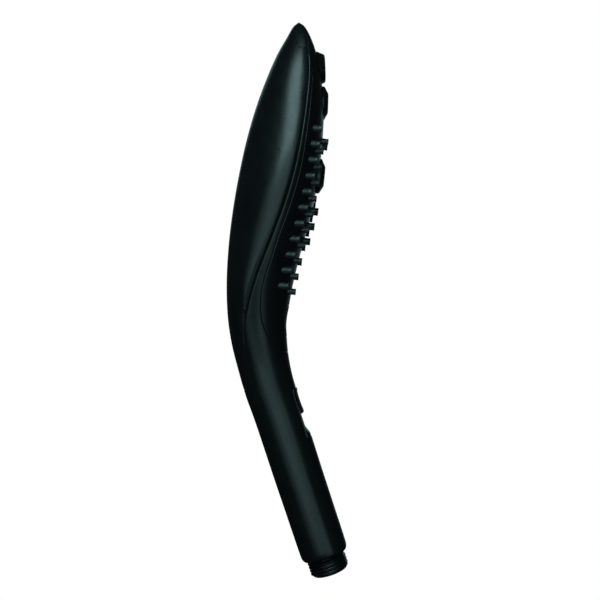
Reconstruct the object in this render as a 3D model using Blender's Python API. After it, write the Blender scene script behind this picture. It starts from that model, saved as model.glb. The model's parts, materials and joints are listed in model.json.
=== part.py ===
"""A handheld shower head: a round handle that bends into a leaf-shaped spray head.

Metres, +Z up. The origin is the middle of the inlet's end face. +Z runs up the handle, +X is the spray side, and the
object is the same on both sides of Y = 0.

A place on the body is given as (t, n, y). t is the distance along the spine from the inlet, n is the distance from the
spine towards the spray side, and y is the distance to the side. The spine is straight along the handle, bends by
HEAD_TILT on a radius of BEND_RADIUS, and is straight again along the head.
"""

import math

import bmesh
import bpy
import numpy as np
from mathutils import Matrix, Vector

MM = 0.001

# The body's driving dimensions.
GAP = 0.3 * MM
WALL = 2.2 * MM
BEND_START = 98.2 * MM
BEND_RADIUS = 100 * MM
HEAD_TILT = math.radians(24)
HEAD_START = BEND_START + BEND_RADIUS * HEAD_TILT

# The body's outline, from the handle's rounded end to the tip of the head, in millimetres. Each row is t, then n at the
# back, n where the body is widest, n at the front, and the half width.
BODY_ROWS = [
    (9.0, -10.6, 0.0, 10.6, 10.6),
    (9.5, -11.7, 0.0, 11.7, 11.7),
    (10.6, -12.4, 0.0, 12.4, 12.4),
    (12.4, -12.7, 0.0, 12.7, 12.7),
    (50.0, -13.0, 0.0, 13.0, 13.0),
    (98.0, -13.6, 0.0, 13.5, 13.6),
    (115.0, -14.7, -1.5, 13.3, 14.9),
    (130.0, -17.3, -5.0, 12.8, 17.9),
    (143.0, -19.9, -8.2, 12.5, 21.3),
    (157.0, -21.6, -8.9, 13.3, 24.9),
    (175.0, -22.5, -5.2, 15.7, 28.7),
    (195.0, -22.2, 0.0, 19.2, 31.7),
    (215.0, -20.8, 5.0, 21.5, 33.0),
    (235.0, -18.4, 8.8, 22.0, 32.2),
    (253.0, -15.0, 10.6, 21.1, 29.2),
    (269.0, -10.8, 10.9, 18.5, 24.4),
    (282.0, -6.5, 9.9, 14.9, 18.4),
    (291.0, -2.5, 8.0, 10.9, 12.4),
    (297.0, 0.2, 5.6, 7.1, 6.4),
    (300.2, 3.0, 3.1, 3.2, 0.3),
]

# The two seams as (t, n) in millimetres, seen from the side. Each starts and ends outside the body.
COVER_SEAM = [
    (102.0, -17.0),
    (106.0, -13.3),
    (112.0, -10.6),
    (120.0, -9.2),
    (130.0, -9.0),
    (142.0, -8.6),
    (154.0, -6.7),
    (165.0, -4.1),
    (182.0, 0.9),
    (200.0, 5.8),
    (220.0, 9.6),
    (238.0, 11.2),
    (254.0, 11.8),
    (270.0, 11.5),
    (281.0, 10.0),
    (290.0, 8.2),
    (295.0, 7.6),
    (302.0, 8.4),
]
PANEL_SEAM = [
    (120.0, 18.0),
    (122.0, 12.9),
    (126.0, 8.1),
    (131.0, 4.2),
    (138.0, 0.5),
    (146.0, -1.4),
    (155.0, -1.6),
    (162.0, -0.6),
    (170.0, 1.3),
    (182.0, 3.9),
    (200.0, 8.6),
    (219.0, 12.1),
    (238.0, 13.4),
    (258.0, 13.8),
    (275.0, 12.9),
    (287.0, 11.6),
    (292.0, 13.0),
    (295.0, 18.0),
]
CUTTER_REACH = 60 * MM

# How finely the body is divided.
AROUND = 24
HEAD_RINGS = 18
FLAT_ANGLE = math.radians(2)
HANDLE_RINGS = (9.0 * MM, 9.5 * MM, 10.6 * MM, 12.4 * MM, 50 * MM, 80 * MM)

# The stack behind the face panel, as depths below the outer surface.
MAT_DEPTH = (2.8 * MM, 4.1 * MM)
PLATE_DEPTH = (4.5 * MM, 6.6 * MM)
LID_DEPTH = (7.0 * MM, 9.0 * MM)
MAT_REACH = (152 * MM, 250 * MM, math.radians(73))
PLATE_REACH = (153 * MM, 288 * MM, math.radians(62))
LID_REACH = (155 * MM, 287 * MM, math.radians(56))

# Spray nozzles: silicone studs that stand out of the panel.
NOZZLE_RADIUS = 1.75 * MM
NOZZLE_TIP_RADIUS = 1.55 * MM
NOZZLE_HEIGHT = 3.6 * MM
NOZZLE_SIDES = 6
NOZZLE_PITCH = 8.15 * MM
# Their columns on each side of the middle: the first nozzle's t, its y as a share of the half width, how much that share
# grows from one nozzle to the next, and the first and last numbers in the column.
NOZZLE_COLUMNS = [
    (159.0 * MM, 0.66, 0.012, 0, 10),
    (156.5 * MM, 0.34, 0.028, 0, 9),
    (159.5 * MM, 0.16, 0.0, 3, 5),
    (236.5 * MM, 0.30, 0.0, 0, 0),
]

# The three big outlets on the middle of the face: t, how far the top stands out, and how far the axis leans back.
OUTLET_RADIUS = 9.1 * MM
OUTLET_WALL = 1.4 * MM
OUTLETS = {
    "upper": (276.6 * MM, 3.0 * MM, math.radians(8)),
    "middle": (258.2 * MM, 2.6 * MM, math.radians(4)),
    "lower": (219.3 * MM, 3.2 * MM, 0.0),
}
OUTLET_DEPTH = 5.6 * MM
TURBINE_RADIUS = 6.6 * MM
TURBINE_BLADES = 6

# The button at the lower end of the face panel, and the diverter behind it on the same axis.
BUTTON_HALF_WIDTH = 6.6 * MM
BUTTON_HALF_LENGTH = 9.0 * MM
BUTTON_BACK = 9.4 * MM
BUTTON_STEM_RADIUS = 2.2 * MM
BUTTON_STEM_END = 0.8 * MM
DIVERTER_RADIUS = 10 * MM
DIVERTER_BORE = 8.4 * MM
DIVERTER_FLOOR = -14 * MM
ROTOR_RADIUS = 8.0 * MM

# The slider on the front of the handle, and the valve behind it.
SLIDER_BOTTOM = 85.4 * MM
SLIDER_TOP = 99.0 * MM
SLIDER_HALF_WIDTH = 6.2 * MM
SLIDER_TRAVEL = 7.0 * MM
TRACK_FLOOR = 11.4 * MM
TRACK_BACK = 10.3 * MM
TRACK_HALF_WIDTH = 6.9 * MM
TRACK_BOTTOM = 72.6 * MM
STEM_HALF_WIDTH = 1.7 * MM
STEM_BOTTOM = 90.5 * MM
STEM_TOP = 94.5 * MM
VALVE_RADIUS = 9.0 * MM
VALVE_BORE = 5.2 * MM
VALVE_BOTTOM = 66 * MM
VALVE_TOP = 104 * MM

# The inlet: a half-inch pipe thread, which the hose's nut screws onto.
THREAD_RADIUS = 20.955 / 2 * MM
THREAD_ROOT = 18.631 / 2 * MM
THREAD_PITCH = 1.814 * MM
THREAD_LENGTH = 8.4 * MM
INLET_BORE = 6.5 * MM
INLET_STEM_RADIUS = 9.2 * MM
INLET_STEM_TOP = 34 * MM
HANDLE_BORE = 9.5 * MM
HANDLE_BORE_TOP = 36 * MM
TUBE_RADIUS = 6.2 * MM
TUBE_BORE = 4.8 * MM
RISER_RADIUS = 5.4 * MM
RISER_BORE = 4.0 * MM
RISER_SHIFT = -6 * MM

# Rotations that stand a turned piece's axis along the head, or straight out of its face.
ALONG_HEAD = (0.0, HEAD_TILT, 0.0)
OUT_OF_FACE = (0.0, math.pi / 2 + HEAD_TILT, 0.0)

# Colour, roughness and metallic value of each material.
FINISHES = {
    "satin_black_plastic": ((0.010, 0.012, 0.013), 0.36, 0.0),
    "black_silicone": ((0.022, 0.026, 0.028), 0.55, 0.0),
    "grey_inner_plastic": ((0.30, 0.31, 0.32), 0.50, 0.0),
    "white_valve_plastic": ((0.72, 0.72, 0.70), 0.40, 0.0),
    "seal_rubber": ((0.02, 0.02, 0.02), 0.70, 0.0),
    "stainless_steel": ((0.62, 0.61, 0.59), 0.30, 1.0),
}


def clear_scene():
    for obj in list(bpy.data.objects):
        bpy.data.objects.remove(obj, do_unlink=True)


def finish(name):
    """The material of that name, made the first time it is asked for."""
    material = bpy.data.materials.get(name)
    if material:
        return material
    colour, roughness, metallic = FINISHES[name]
    material = bpy.data.materials.new(name)
    material.use_nodes = True
    shader = material.node_tree.nodes["Principled BSDF"]
    shader.inputs["Base Color"].default_value = (*colour, 1.0)
    shader.inputs["Roughness"].default_value = roughness
    shader.inputs["Metallic"].default_value = metallic
    return material


# The body's shape


def smooth_through(rows, steps):
    """Points of a smooth curve through the rows, with that many steps between each pair."""
    rows = np.array(rows) * MM
    lengths = np.linalg.norm(np.diff(rows, axis=0), axis=1)
    knots = np.concatenate([[0.0], np.cumsum(lengths)])
    slopes = np.gradient(rows, knots, axis=0)
    points = []
    for index, length in enumerate(lengths):
        for step in range(steps):
            u = step / steps
            points.append(
                (2 * u**3 - 3 * u**2 + 1) * rows[index]
                + (u**3 - 2 * u**2 + u) * length * slopes[index]
                + (3 * u**2 - 2 * u**3) * rows[index + 1]
                + (u**3 - u**2) * length * slopes[index + 1]
            )
    points.append(rows[-1])
    return np.array(points)


BODY = smooth_through(BODY_ROWS, 12)


def section(t):
    """The body's n at the back, where it is widest and at the front, and its half width, at that t."""
    return [float(np.interp(t, BODY[:, 0], BODY[:, column])) for column in (1, 2, 3, 4)]


def spine(t):
    """The spine's point, and the direction out of the spray side, at that t."""
    angle = min(max(t - BEND_START, 0.0) / BEND_RADIUS, HEAD_TILT)
    straight = min(t, BEND_START)
    past = max(t - HEAD_START, 0.0)
    x = BEND_RADIUS * (1 - math.cos(angle)) + past * math.sin(angle)
    z = straight + BEND_RADIUS * math.sin(angle) + past * math.cos(angle)
    return Vector((x, 0, z)), Vector((math.cos(angle), 0, -math.sin(angle)))


def place(t, n, y=0.0):
    point, out = spine(t)
    return point + out * n + Vector((0, y, 0))


def surface(t, angle, depth=0.0):
    """The point of the body's surface at that angle from the front, or a depth below it."""
    back, widest, front, half_width = section(t)
    reach = front - depth - widest if math.cos(angle) > 0 else widest - back - depth
    return place(t, widest + reach * math.cos(angle), (half_width - depth) * math.sin(angle))


def face_n(t, y, depth=0.0):
    """The n of the front surface at that t and y, or a depth below it."""
    _, widest, front, half_width = section(t)
    across = min(abs(y) / (half_width - depth), 1.0)
    return widest + (front - depth - widest) * math.sqrt(1 - across**2)


# Meshes


def new_object(name, mesh_data, material=None, location=(0, 0, 0), rotation=(0, 0, 0)):
    """An object from a bmesh, with its faces pointing out. Without a material it is a helper that isn't rendered."""
    bmesh.ops.remove_doubles(mesh_data, verts=mesh_data.verts, dist=1e-6)
    bmesh.ops.triangulate(mesh_data, faces=mesh_data.faces)
    bmesh.ops.recalc_face_normals(mesh_data, faces=mesh_data.faces)
    mesh = bpy.data.meshes.new(name)
    mesh_data.to_mesh(mesh)
    mesh_data.free()
    mesh.shade_smooth()
    mesh.set_sharp_from_angle(angle=math.radians(30))
    obj = bpy.data.objects.new(name, mesh)
    obj.location = location
    obj.rotation_euler = rotation
    bpy.context.collection.objects.link(obj)
    if material:
        mesh.materials.append(finish(material))
    else:
        obj.hide_render = True
        obj.display_type = "WIRE"
    return obj


def add_rings(mesh_data, rings, closed=False):
    """Joins rings of points one after another, and caps the two ends unless the last ring meets the first."""
    made = [[mesh_data.verts.new(point) for point in ring] for ring in rings]
    pairs = list(zip(made, made[1:]))
    if closed:
        pairs.append((made[-1], made[0]))
    for below, above in pairs:
        for i in range(len(below)):
            j = (i + 1) % len(below)
            mesh_data.faces.new((below[i], below[j], above[j], above[i]))
    if not closed:
        mesh_data.faces.new(made[0][::-1])
        mesh_data.faces.new(made[-1])


def solid_of_rings(name, rings, closed=False, **settings):
    mesh_data = bmesh.new()
    add_rings(mesh_data, rings, closed)
    return new_object(name, mesh_data, **settings)


def circle(radius, height, sides, turn=0.0):
    steps = [turn + 2 * math.pi * i / sides for i in range(sides)]
    return [(radius * math.cos(a), radius * math.sin(a), height) for a in steps]


def turned(name, profile, sides=24, hollow=True, **settings):
    """A piece turned about its own Z from (radius, height) pairs. A hollow one's profile is a closed loop."""
    rings = [circle(radius, height, sides) for radius, height in profile]
    return solid_of_rings(name, rings, closed=hollow, **settings)


def o_ring(name, radius, thickness, sides=20, corners=5, **settings):
    profile = []
    for i in range(corners):
        a = 2 * math.pi * i / corners
        profile.append((radius + thickness * math.cos(a), thickness * math.sin(a)))
    return turned(name, profile, sides, material="seal_rubber", **settings)


def box(name, low, high, **settings):
    (x0, y0, z0), (x1, y1, z1) = low, high
    rings = [[(x0, y0, z), (x1, y0, z), (x1, y1, z), (x0, y1, z)] for z in (z0, z1)]
    return solid_of_rings(name, rings, **settings)


def cut(obj, cutter, operation="DIFFERENCE"):
    modifier = obj.modifiers.new(cutter.name, "BOOLEAN")
    modifier.operation = operation
    modifier.object = cutter


def merge_flat_faces():
    """Joins the slivers that the cuts leave between faces that lie in one plane."""
    for obj in bpy.data.objects:
        if obj.modifiers and not obj.hide_render:
            modifier = obj.modifiers.new("flat", "DECIMATE")
            modifier.decimate_type = "DISSOLVE"
            modifier.angle_limit = FLAT_ANGLE


def sweep(name, path, outer, inner, sides, **settings):
    """A tube along points in the plane of the spine."""
    points = [Vector(point) for point in path]
    outside = []
    inside = []
    for i, point in enumerate(points):
        heading = (points[min(i + 1, len(points) - 1)] - points[max(i - 1, 0)]).normalized()
        across = Vector((0, 1, 0))
        up = across.cross(heading)
        for radius, ring in ((outer, outside), (inner, inside)):
            ring.append([point + radius * (up * c + across * s) for c, s, _ in circle(1, 0, sides)])
    return solid_of_rings(name, outside + inside[::-1], closed=True, **settings)


def curved_plate(name, reach, depths, material):
    """A plate that follows the face, between two depths below its surface."""
    low, high, half_angle = reach
    rows = 11
    columns = 8
    mesh_data = bmesh.new()
    layers = []
    for depth in depths:
        grid = []
        for row in range(rows + 1):
            t = low + (high - low) * row / rows
            angles = [half_angle * (2 * column / columns - 1) for column in range(columns + 1)]
            grid.append([mesh_data.verts.new(surface(t, angle, depth)) for angle in angles])
        layers.append(grid)
    for grid in layers:
        for row in range(rows):
            for column in range(columns):
                corners = (grid[row][column], grid[row][column + 1], grid[row + 1][column + 1], grid[row + 1][column])
                mesh_data.faces.new(corners)
    rims = [edge_loop(grid) for grid in layers]
    for i in range(len(rims[0])):
        j = (i + 1) % len(rims[0])
        mesh_data.faces.new((rims[0][i], rims[0][j], rims[1][j], rims[1][i]))
    return new_object(name, mesh_data, material)


def edge_loop(grid):
    """The points round a grid's edge, in order."""
    right = [row[-1] for row in grid]
    left = [row[0] for row in grid]
    return grid[0][:-1] + right[:-1] + grid[-1][:0:-1] + left[:0:-1]


def loft_of_body(name, depth, stations, first_rings=(), **settings):
    rings = list(first_rings)
    for t in stations:
        rings.append([surface(t, 2 * math.pi * i / AROUND, depth) for i in range(AROUND)])
    return solid_of_rings(name, rings, **settings)


def body_stations(last_row):
    """The t of each ring: a few along the handle, then evenly along the outline's curve to a row near the tip."""
    start = 5 * 12
    picks = np.linspace(start, last_row * 12, HEAD_RINGS).round().astype(int)
    return [*HANDLE_RINGS, *BODY[picks, 0]]


def outer_body(name, material=None):
    return loft_of_body(name, 0.0, body_stations(len(BODY_ROWS) - 1), material=material)


def hollow_of_body():
    """The space inside the shells, with the narrower bore that holds the inlet at its lower end."""
    narrow = [circle(HANDLE_BORE, z, AROUND) for z in (7 * MM, HANDLE_BORE_TOP)]
    stations = [HANDLE_BORE_TOP, *[t for t in body_stations(len(BODY_ROWS) - 3) if t > HANDLE_BORE_TOP]]
    return loft_of_body("hollow", WALL, stations, narrow)


def shifted(curve, distance):
    """The curve moved sideways, to the right of its direction when n is drawn upwards."""
    directions = np.gradient(curve, axis=0)
    directions /= np.linalg.norm(directions, axis=1)[:, None]
    return curve + distance * np.stack([directions[:, 1], -directions[:, 0]], axis=1)


def seam_block(name, seam, distance, far_n):
    """The space on one side of a seam, right across the body. The seam is moved towards far_n by a distance."""
    curve = shifted(smooth_through(seam, 3), distance)
    outline = [place(t, n) for t, n in curve]
    outline.append(place(curve[-1][0], far_n))
    outline.append(place(curve[0][0], far_n))
    rings = [[point + Vector((0, side, 0)) for point in outline] for side in (-CUTTER_REACH, CUTTER_REACH)]
    return solid_of_rings(name, rings)


# The outer pieces


def nozzle_places():
    """The (t, y) of each nozzle, on both sides of the middle."""
    places = []
    for first_t, first_share, growth, low, high in NOZZLE_COLUMNS:
        for number in range(low, high + 1):
            t = first_t + NOZZLE_PITCH * number
            y = (first_share + growth * number) * section(t)[3]
            places += [(t, -y), (t, y)]
    return places


def nozzle_cutter(name, radius, top_radius, low, high):
    """Studs along the face's axis at every nozzle, from a depth below the surface to a height above it."""
    mesh_data = bmesh.new()
    turn = Matrix.Rotation(OUT_OF_FACE[1], 4, "Y")
    for t, y in nozzle_places():
        base = place(t, face_n(t, y), y)
        rings = []
        for ring_radius, height in ((radius, low), (top_radius, high)):
            ring = circle(ring_radius, height, NOZZLE_SIDES, math.pi / NOZZLE_SIDES)
            rings.append([base + turn @ Vector(point) for point in ring])
        add_rings(mesh_data, rings)
    return new_object(name, mesh_data)


def outlet_axis(name):
    """The point of the surface at an outlet's middle, and the rotation that stands a piece on it."""
    t, _, lean = OUTLETS[name]
    return place(t, face_n(t, 0.0)), (0.0, OUT_OF_FACE[1] - lean, 0.0)


def outlet_cutter(name, radius):
    location, rotation = outlet_axis(name)
    profile = ((radius, -6.0 * MM), (radius, 8 * MM))
    return turned(f"{name}_outlet_hole", profile, 16, hollow=False, location=location, rotation=rotation)


def button_block(name, back, clearance):
    """An oval prism along the face's axis, from a height behind the face to outside the body."""
    rings = []
    for height in (back, 20 * MM):
        ring = circle(1.0, height, 24)
        across = BUTTON_HALF_WIDTH + clearance
        along = BUTTON_HALF_LENGTH + clearance
        rings.append([(x * along, y * across, z) for x, y, z in ring])
    return solid_of_rings(name, rings, location=place(HEAD_START, 0), rotation=OUT_OF_FACE)


def shells(hollow):
    """The handle with its bezel, the leaf-shaped back cover and the face panel, cut from one body at the seams."""
    handle = outer_body("handle_body", "satin_black_plastic")
    cut(handle, hollow)
    cut(handle, seam_block("behind_seam", COVER_SEAM, -GAP / 2, -CUTTER_REACH))
    cut(handle, seam_block("before_seam", PANEL_SEAM, GAP / 2, CUTTER_REACH))
    window_low = (TRACK_BACK - 2 * MM, -TRACK_HALF_WIDTH - GAP, TRACK_BOTTOM - GAP)
    window_high = (20 * MM, TRACK_HALF_WIDTH + GAP, SLIDER_TOP + GAP)
    cut(handle, box("slider_window", window_low, window_high))

    cover = outer_body("back_cover", "satin_black_plastic")
    cut(cover, hollow)
    cut(cover, seam_block("cover_block", COVER_SEAM, GAP / 2, -CUTTER_REACH), "INTERSECT")

    panel = outer_body("face_panel", "satin_black_plastic")
    cut(panel, hollow)
    cut(panel, seam_block("panel_block", PANEL_SEAM, -GAP / 2, CUTTER_REACH), "INTERSECT")
    return panel


def face(panel):
    """The silicone mat with its nozzles, and the holes for them in the face panel."""
    hole_radius = NOZZLE_RADIUS + GAP
    cut(panel, nozzle_cutter("nozzle_holes", hole_radius, hole_radius, -7 * MM, 7 * MM))
    cut(panel, button_block("button_hole", BUTTON_BACK - 3 * MM, GAP))
    mat = curved_plate("nozzle_mat", MAT_REACH, MAT_DEPTH, "black_silicone")
    studs = nozzle_cutter("nozzle_studs", NOZZLE_RADIUS, NOZZLE_TIP_RADIUS, -3.4 * MM, NOZZLE_HEIGHT)
    cut(mat, studs, "UNION")
    return mat


def water_plates():
    """The plate that feeds the mat and the outlets, and the lid that closes its channels from behind."""
    plate = curved_plate("channel_plate", PLATE_REACH, PLATE_DEPTH, "grey_inner_plastic")
    lid = curved_plate("channel_lid", LID_REACH, LID_DEPTH, "grey_inner_plastic")
    return plate, lid


def outlets(panel, mat, plate):
    """The three big outlets, each a cup through the panel, and the two turbines that spin in the upper ones."""
    bore = OUTLET_RADIUS - OUTLET_WALL
    for name, (_, height, _) in OUTLETS.items():
        location, rotation = outlet_axis(name)
        hole = outlet_cutter(name, OUTLET_RADIUS + GAP)
        for piece in (panel, plate):
            cut(piece, hole)
        if name != "upper":
            cut(mat, hole)
        shoulder = OUTLET_RADIUS if name == "upper" else OUTLET_RADIUS - 1.2 * MM
        crown = 0.2 * MM if name == "upper" else 0.9 * MM
        profile = [
            (OUTLET_RADIUS, -OUTLET_DEPTH),
            (OUTLET_RADIUS, height - 2.2 * MM),
            (shoulder - 1.3 * MM, height - crown),
            (5.0 * MM, height),
            (2.2 * MM, height),
            (2.2 * MM, height - 1.5 * MM),
            (bore - 1.0 * MM, height - 2.2 * MM),
            (bore, height - 3.4 * MM),
            (bore, -OUTLET_DEPTH),
        ]
        outlet = f"{name}_outlet"
        turned(outlet, profile, 20, material="satin_black_plastic", location=location, rotation=rotation)
        if name != "lower":
            turbine(f"{name}_turbine", location, rotation)


def turbine(name, location, rotation):
    """A hub with slanted blades, on the outlet's axis."""
    hub = [(1.4 * MM, -4.4 * MM), (2.6 * MM, -4.4 * MM), (2.6 * MM, -1.6 * MM), (1.4 * MM, -1.6 * MM)]
    piece = turned(name, hub, 12, material="white_valve_plastic", location=location, rotation=rotation)
    mesh_data = bmesh.new()
    for blade in range(TURBINE_BLADES):
        turn = Matrix.Rotation(2 * math.pi * blade / TURBINE_BLADES, 4, "Z")
        rings = []
        for height, shift in ((-4.1 * MM, -0.8 * MM), (-1.9 * MM, 0.8 * MM)):
            low = shift - 0.45 * MM
            high = shift + 0.45 * MM
            ends = (2.1 * MM, TURBINE_RADIUS)
            corners = [(ends[0], low), (ends[1], low), (ends[1], high), (ends[0], high)]
            rings.append([turn @ Vector((x, y, height)) for x, y in corners])
        add_rings(mesh_data, rings)
    blades = new_object(f"{name}_blades", mesh_data, location=location, rotation=rotation)
    cut(piece, blades, "UNION")


def feed_holes(lid, plate):
    """The hole that the feed elbow opens into, and the screws with their holes through the lid and the plate."""
    elbow_t = 168 * MM
    hole = [(RISER_BORE, -6 * MM), (RISER_BORE, 6 * MM)]
    middle = place(elbow_t, face_n(elbow_t, 0.0, LID_DEPTH[1]))
    cut(lid, turned("feed_hole", hole, 16, hollow=False, location=middle, rotation=OUT_OF_FACE))
    number = 0
    for t in (186 * MM, 240 * MM):
        for y in (-7 * MM, 7 * MM):
            number += 1
            screw(f"lid_screw_{number}", t, y, lid, plate)


def screw(name, t, y, lid, plate):
    tip = face_n(t, y, PLATE_DEPTH[0]) - 0.6 * MM
    seat = face_n(t, y, LID_DEPTH[1]) - 0.9 * MM
    location = place(t, seat, y)
    length = tip - seat
    profile = [
        (2.4 * MM, -1.6 * MM),
        (2.4 * MM, 0.0),
        (1.2 * MM, 0.0),
        (1.2 * MM, length - 0.8 * MM),
        (0.5 * MM, length),
    ]
    piece = turned(name, profile, 12, False, material="stainless_steel", location=location, rotation=OUT_OF_FACE)
    slot_low = (-1.6 * MM, -0.35 * MM, -2.5 * MM)
    slot_high = (1.6 * MM, 0.35 * MM, -0.9 * MM)
    cut(piece, box(f"{name}_slot", slot_low, slot_high, location=location, rotation=OUT_OF_FACE))
    hole = turned(f"{name}_hole", [(1.6 * MM, -2 * MM), (1.6 * MM, 9 * MM)], 12, False, location=location)
    hole.rotation_euler = OUT_OF_FACE
    cut(lid, hole)
    cut(plate, hole)


# The button and the diverter


def select_button():
    """A flush oval cap with a stem that reaches the diverter."""
    cap = outer_body("select_button", "satin_black_plastic")
    cut(cap, button_block("button_block", BUTTON_BACK, 0.0), "INTERSECT")
    stem = [(BUTTON_STEM_RADIUS, BUTTON_STEM_END), (BUTTON_STEM_RADIUS, BUTTON_BACK + 0.8 * MM)]
    at_diverter = {"location": place(HEAD_START, 0), "rotation": OUT_OF_FACE}
    cut(cap, turned("button_stem", stem, 16, False, **at_diverter), "UNION")
    return at_diverter


def coil_spring(name, radius, wire, low, high, turns, **settings):
    sides = 5
    steps = 11
    rings = []
    for i in range(turns * steps + 1):
        a = 2 * math.pi * i / steps
        z = low + (high - low) * i / (turns * steps)
        middle = Vector((radius * math.cos(a), radius * math.sin(a), z))
        outward = Vector((math.cos(a), math.sin(a), 0))
        ring = [middle + wire * (outward * c + Vector((0, 0, s))) for c, s, _ in circle(1, 0, sides)]
        rings.append(ring)
    return solid_of_rings(name, rings, material="stainless_steel", **settings)


def diverter(at_diverter):
    """The cartridge behind the button: a cup, the rotor that turns in it, its lid and the lid's seal."""
    cup = [
        (1.5 * MM, DIVERTER_FLOOR),
        (DIVERTER_RADIUS, DIVERTER_FLOOR),
        (DIVERTER_RADIUS, 2.0 * MM),
        (DIVERTER_BORE, 2.0 * MM),
        (DIVERTER_BORE, DIVERTER_FLOOR + 1.6 * MM),
        (1.5 * MM, DIVERTER_FLOOR + 1.6 * MM),
    ]
    housing = turned("diverter_housing", cup, 20, material="grey_inner_plastic", **at_diverter)
    side_reach = 14 * MM
    water = [(RISER_BORE, -side_reach), (RISER_BORE, side_reach)]
    where = place(HEAD_START, RISER_SHIFT)
    cut(housing, turned("water_hole", water, 16, False, location=where, rotation=ALONG_HEAD))

    rotor_floor = -6.0 * MM
    rotor_top = -2.2 * MM
    disc = [(1.2 * MM, rotor_floor), (ROTOR_RADIUS, rotor_floor), (ROTOR_RADIUS, rotor_top), (1.2 * MM, rotor_top)]
    rotor = turned("diverter_rotor", disc, 20, material="white_valve_plastic", **at_diverter)
    mesh_data = bmesh.new()
    for notch in range(6):
        a = 2 * math.pi * notch / 6
        radius, reach = (2.0 * MM, 4.8 * MM) if notch == 0 else (1.0 * MM, ROTOR_RADIUS)
        middle = Vector((reach * math.cos(a), reach * math.sin(a), 0))
        heights = (rotor_floor - MM, rotor_top + MM)
        rings = [[middle + Vector(point) for point in circle(radius, z, 8)] for z in heights]
        add_rings(mesh_data, rings)
    cut(rotor, new_object("rotor_ports", mesh_data, **at_diverter))

    plug = DIVERTER_BORE - GAP
    groove = 7.2 * MM
    lid = [
        (BUTTON_STEM_RADIUS + 0.4 * MM, -1.6 * MM),
        (plug, -1.6 * MM),
        (plug, -0.5 * MM),
        (groove, -0.5 * MM),
        (groove, 0.9 * MM),
        (plug, 0.9 * MM),
        (plug, 2.3 * MM),
        (DIVERTER_RADIUS, 2.3 * MM),
        (DIVERTER_RADIUS, 4.6 * MM),
        (5.8 * MM, 4.6 * MM),
        (5.8 * MM, 0.2 * MM),
        (3.4 * MM, 0.2 * MM),
        (3.4 * MM, 2.4 * MM),
        (BUTTON_STEM_RADIUS + 0.4 * MM, 2.4 * MM),
    ]
    turned("diverter_lid", lid, 20, material="grey_inner_plastic", **at_diverter)
    seal = o_ring("diverter_o_ring", 7.8 * MM, 0.4 * MM, rotation=OUT_OF_FACE)
    seal.location = place(HEAD_START, 0.2 * MM)
    coil_spring("button_spring", 4.6 * MM, 0.4 * MM, 3.6 * MM, 8.7 * MM, 4, **at_diverter)


# The slider and the valve


def slider():
    """The knob that slides on the front of the handle, with a thumb dish between two lips."""
    heights = (0.0, 0.6, 1.4, 3.0, 6.0, 9.0, 11.6, 12.8, 13.6)
    radii = (13.2, 13.6, 13.6, 13.45, 13.4, 13.4, 13.55, 13.95, 13.85)
    base = TRACK_FLOOR + GAP
    half_angle = math.asin(SLIDER_HALF_WIDTH / (13.5 * MM))
    angles = [half_angle * step / 4 for step in range(-4, 5)]
    rings = []
    for height, radius in zip(heights, radii):
        z = SLIDER_BOTTOM + height * MM
        top = [(radius * MM * math.cos(a), radius * MM * math.sin(a), z) for a in angles]
        edge = top[-1][1]
        rings.append([*top, (base, edge, z), (base, -edge, z)])
    origin = Vector((TRACK_FLOOR, 0, (SLIDER_BOTTOM + SLIDER_TOP) / 2))
    rings = [[Vector(point) - origin for point in ring] for ring in rings]
    solid_of_rings("slider_knob", rings, material="satin_black_plastic", location=origin)


def slider_track():
    """The floor that the knob slides on: flat, and rising to the handle's surface at its lower end."""
    track = outer_body("slider_track", "satin_black_plastic")
    low = (TRACK_BACK, -TRACK_HALF_WIDTH, TRACK_BOTTOM)
    high = (20 * MM, TRACK_HALF_WIDTH, SLIDER_TOP)
    cut(track, box("track_block", low, high), "INTERSECT")
    ramp_start = SLIDER_BOTTOM - SLIDER_TRAVEL - 0.4 * MM
    outline = [
        (TRACK_FLOOR, 105 * MM),
        (TRACK_FLOOR, ramp_start),
        (13.1 * MM, TRACK_BOTTOM + 0.3 * MM),
        (20 * MM, TRACK_BOTTOM + 0.3 * MM),
        (20 * MM, 105 * MM),
    ]
    rings = [[(x, side, z) for x, z in outline] for side in (-12 * MM, 12 * MM)]
    cut(track, solid_of_rings("track_recess", rings))
    slot_low = (TRACK_BACK - MM, -STEM_HALF_WIDTH - GAP, STEM_BOTTOM - SLIDER_TRAVEL - 0.4 * MM)
    slot_high = (TRACK_FLOOR + MM, STEM_HALF_WIDTH + GAP, STEM_TOP + 0.4 * MM)
    cut(track, box("track_slot", slot_low, slot_high))


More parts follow.
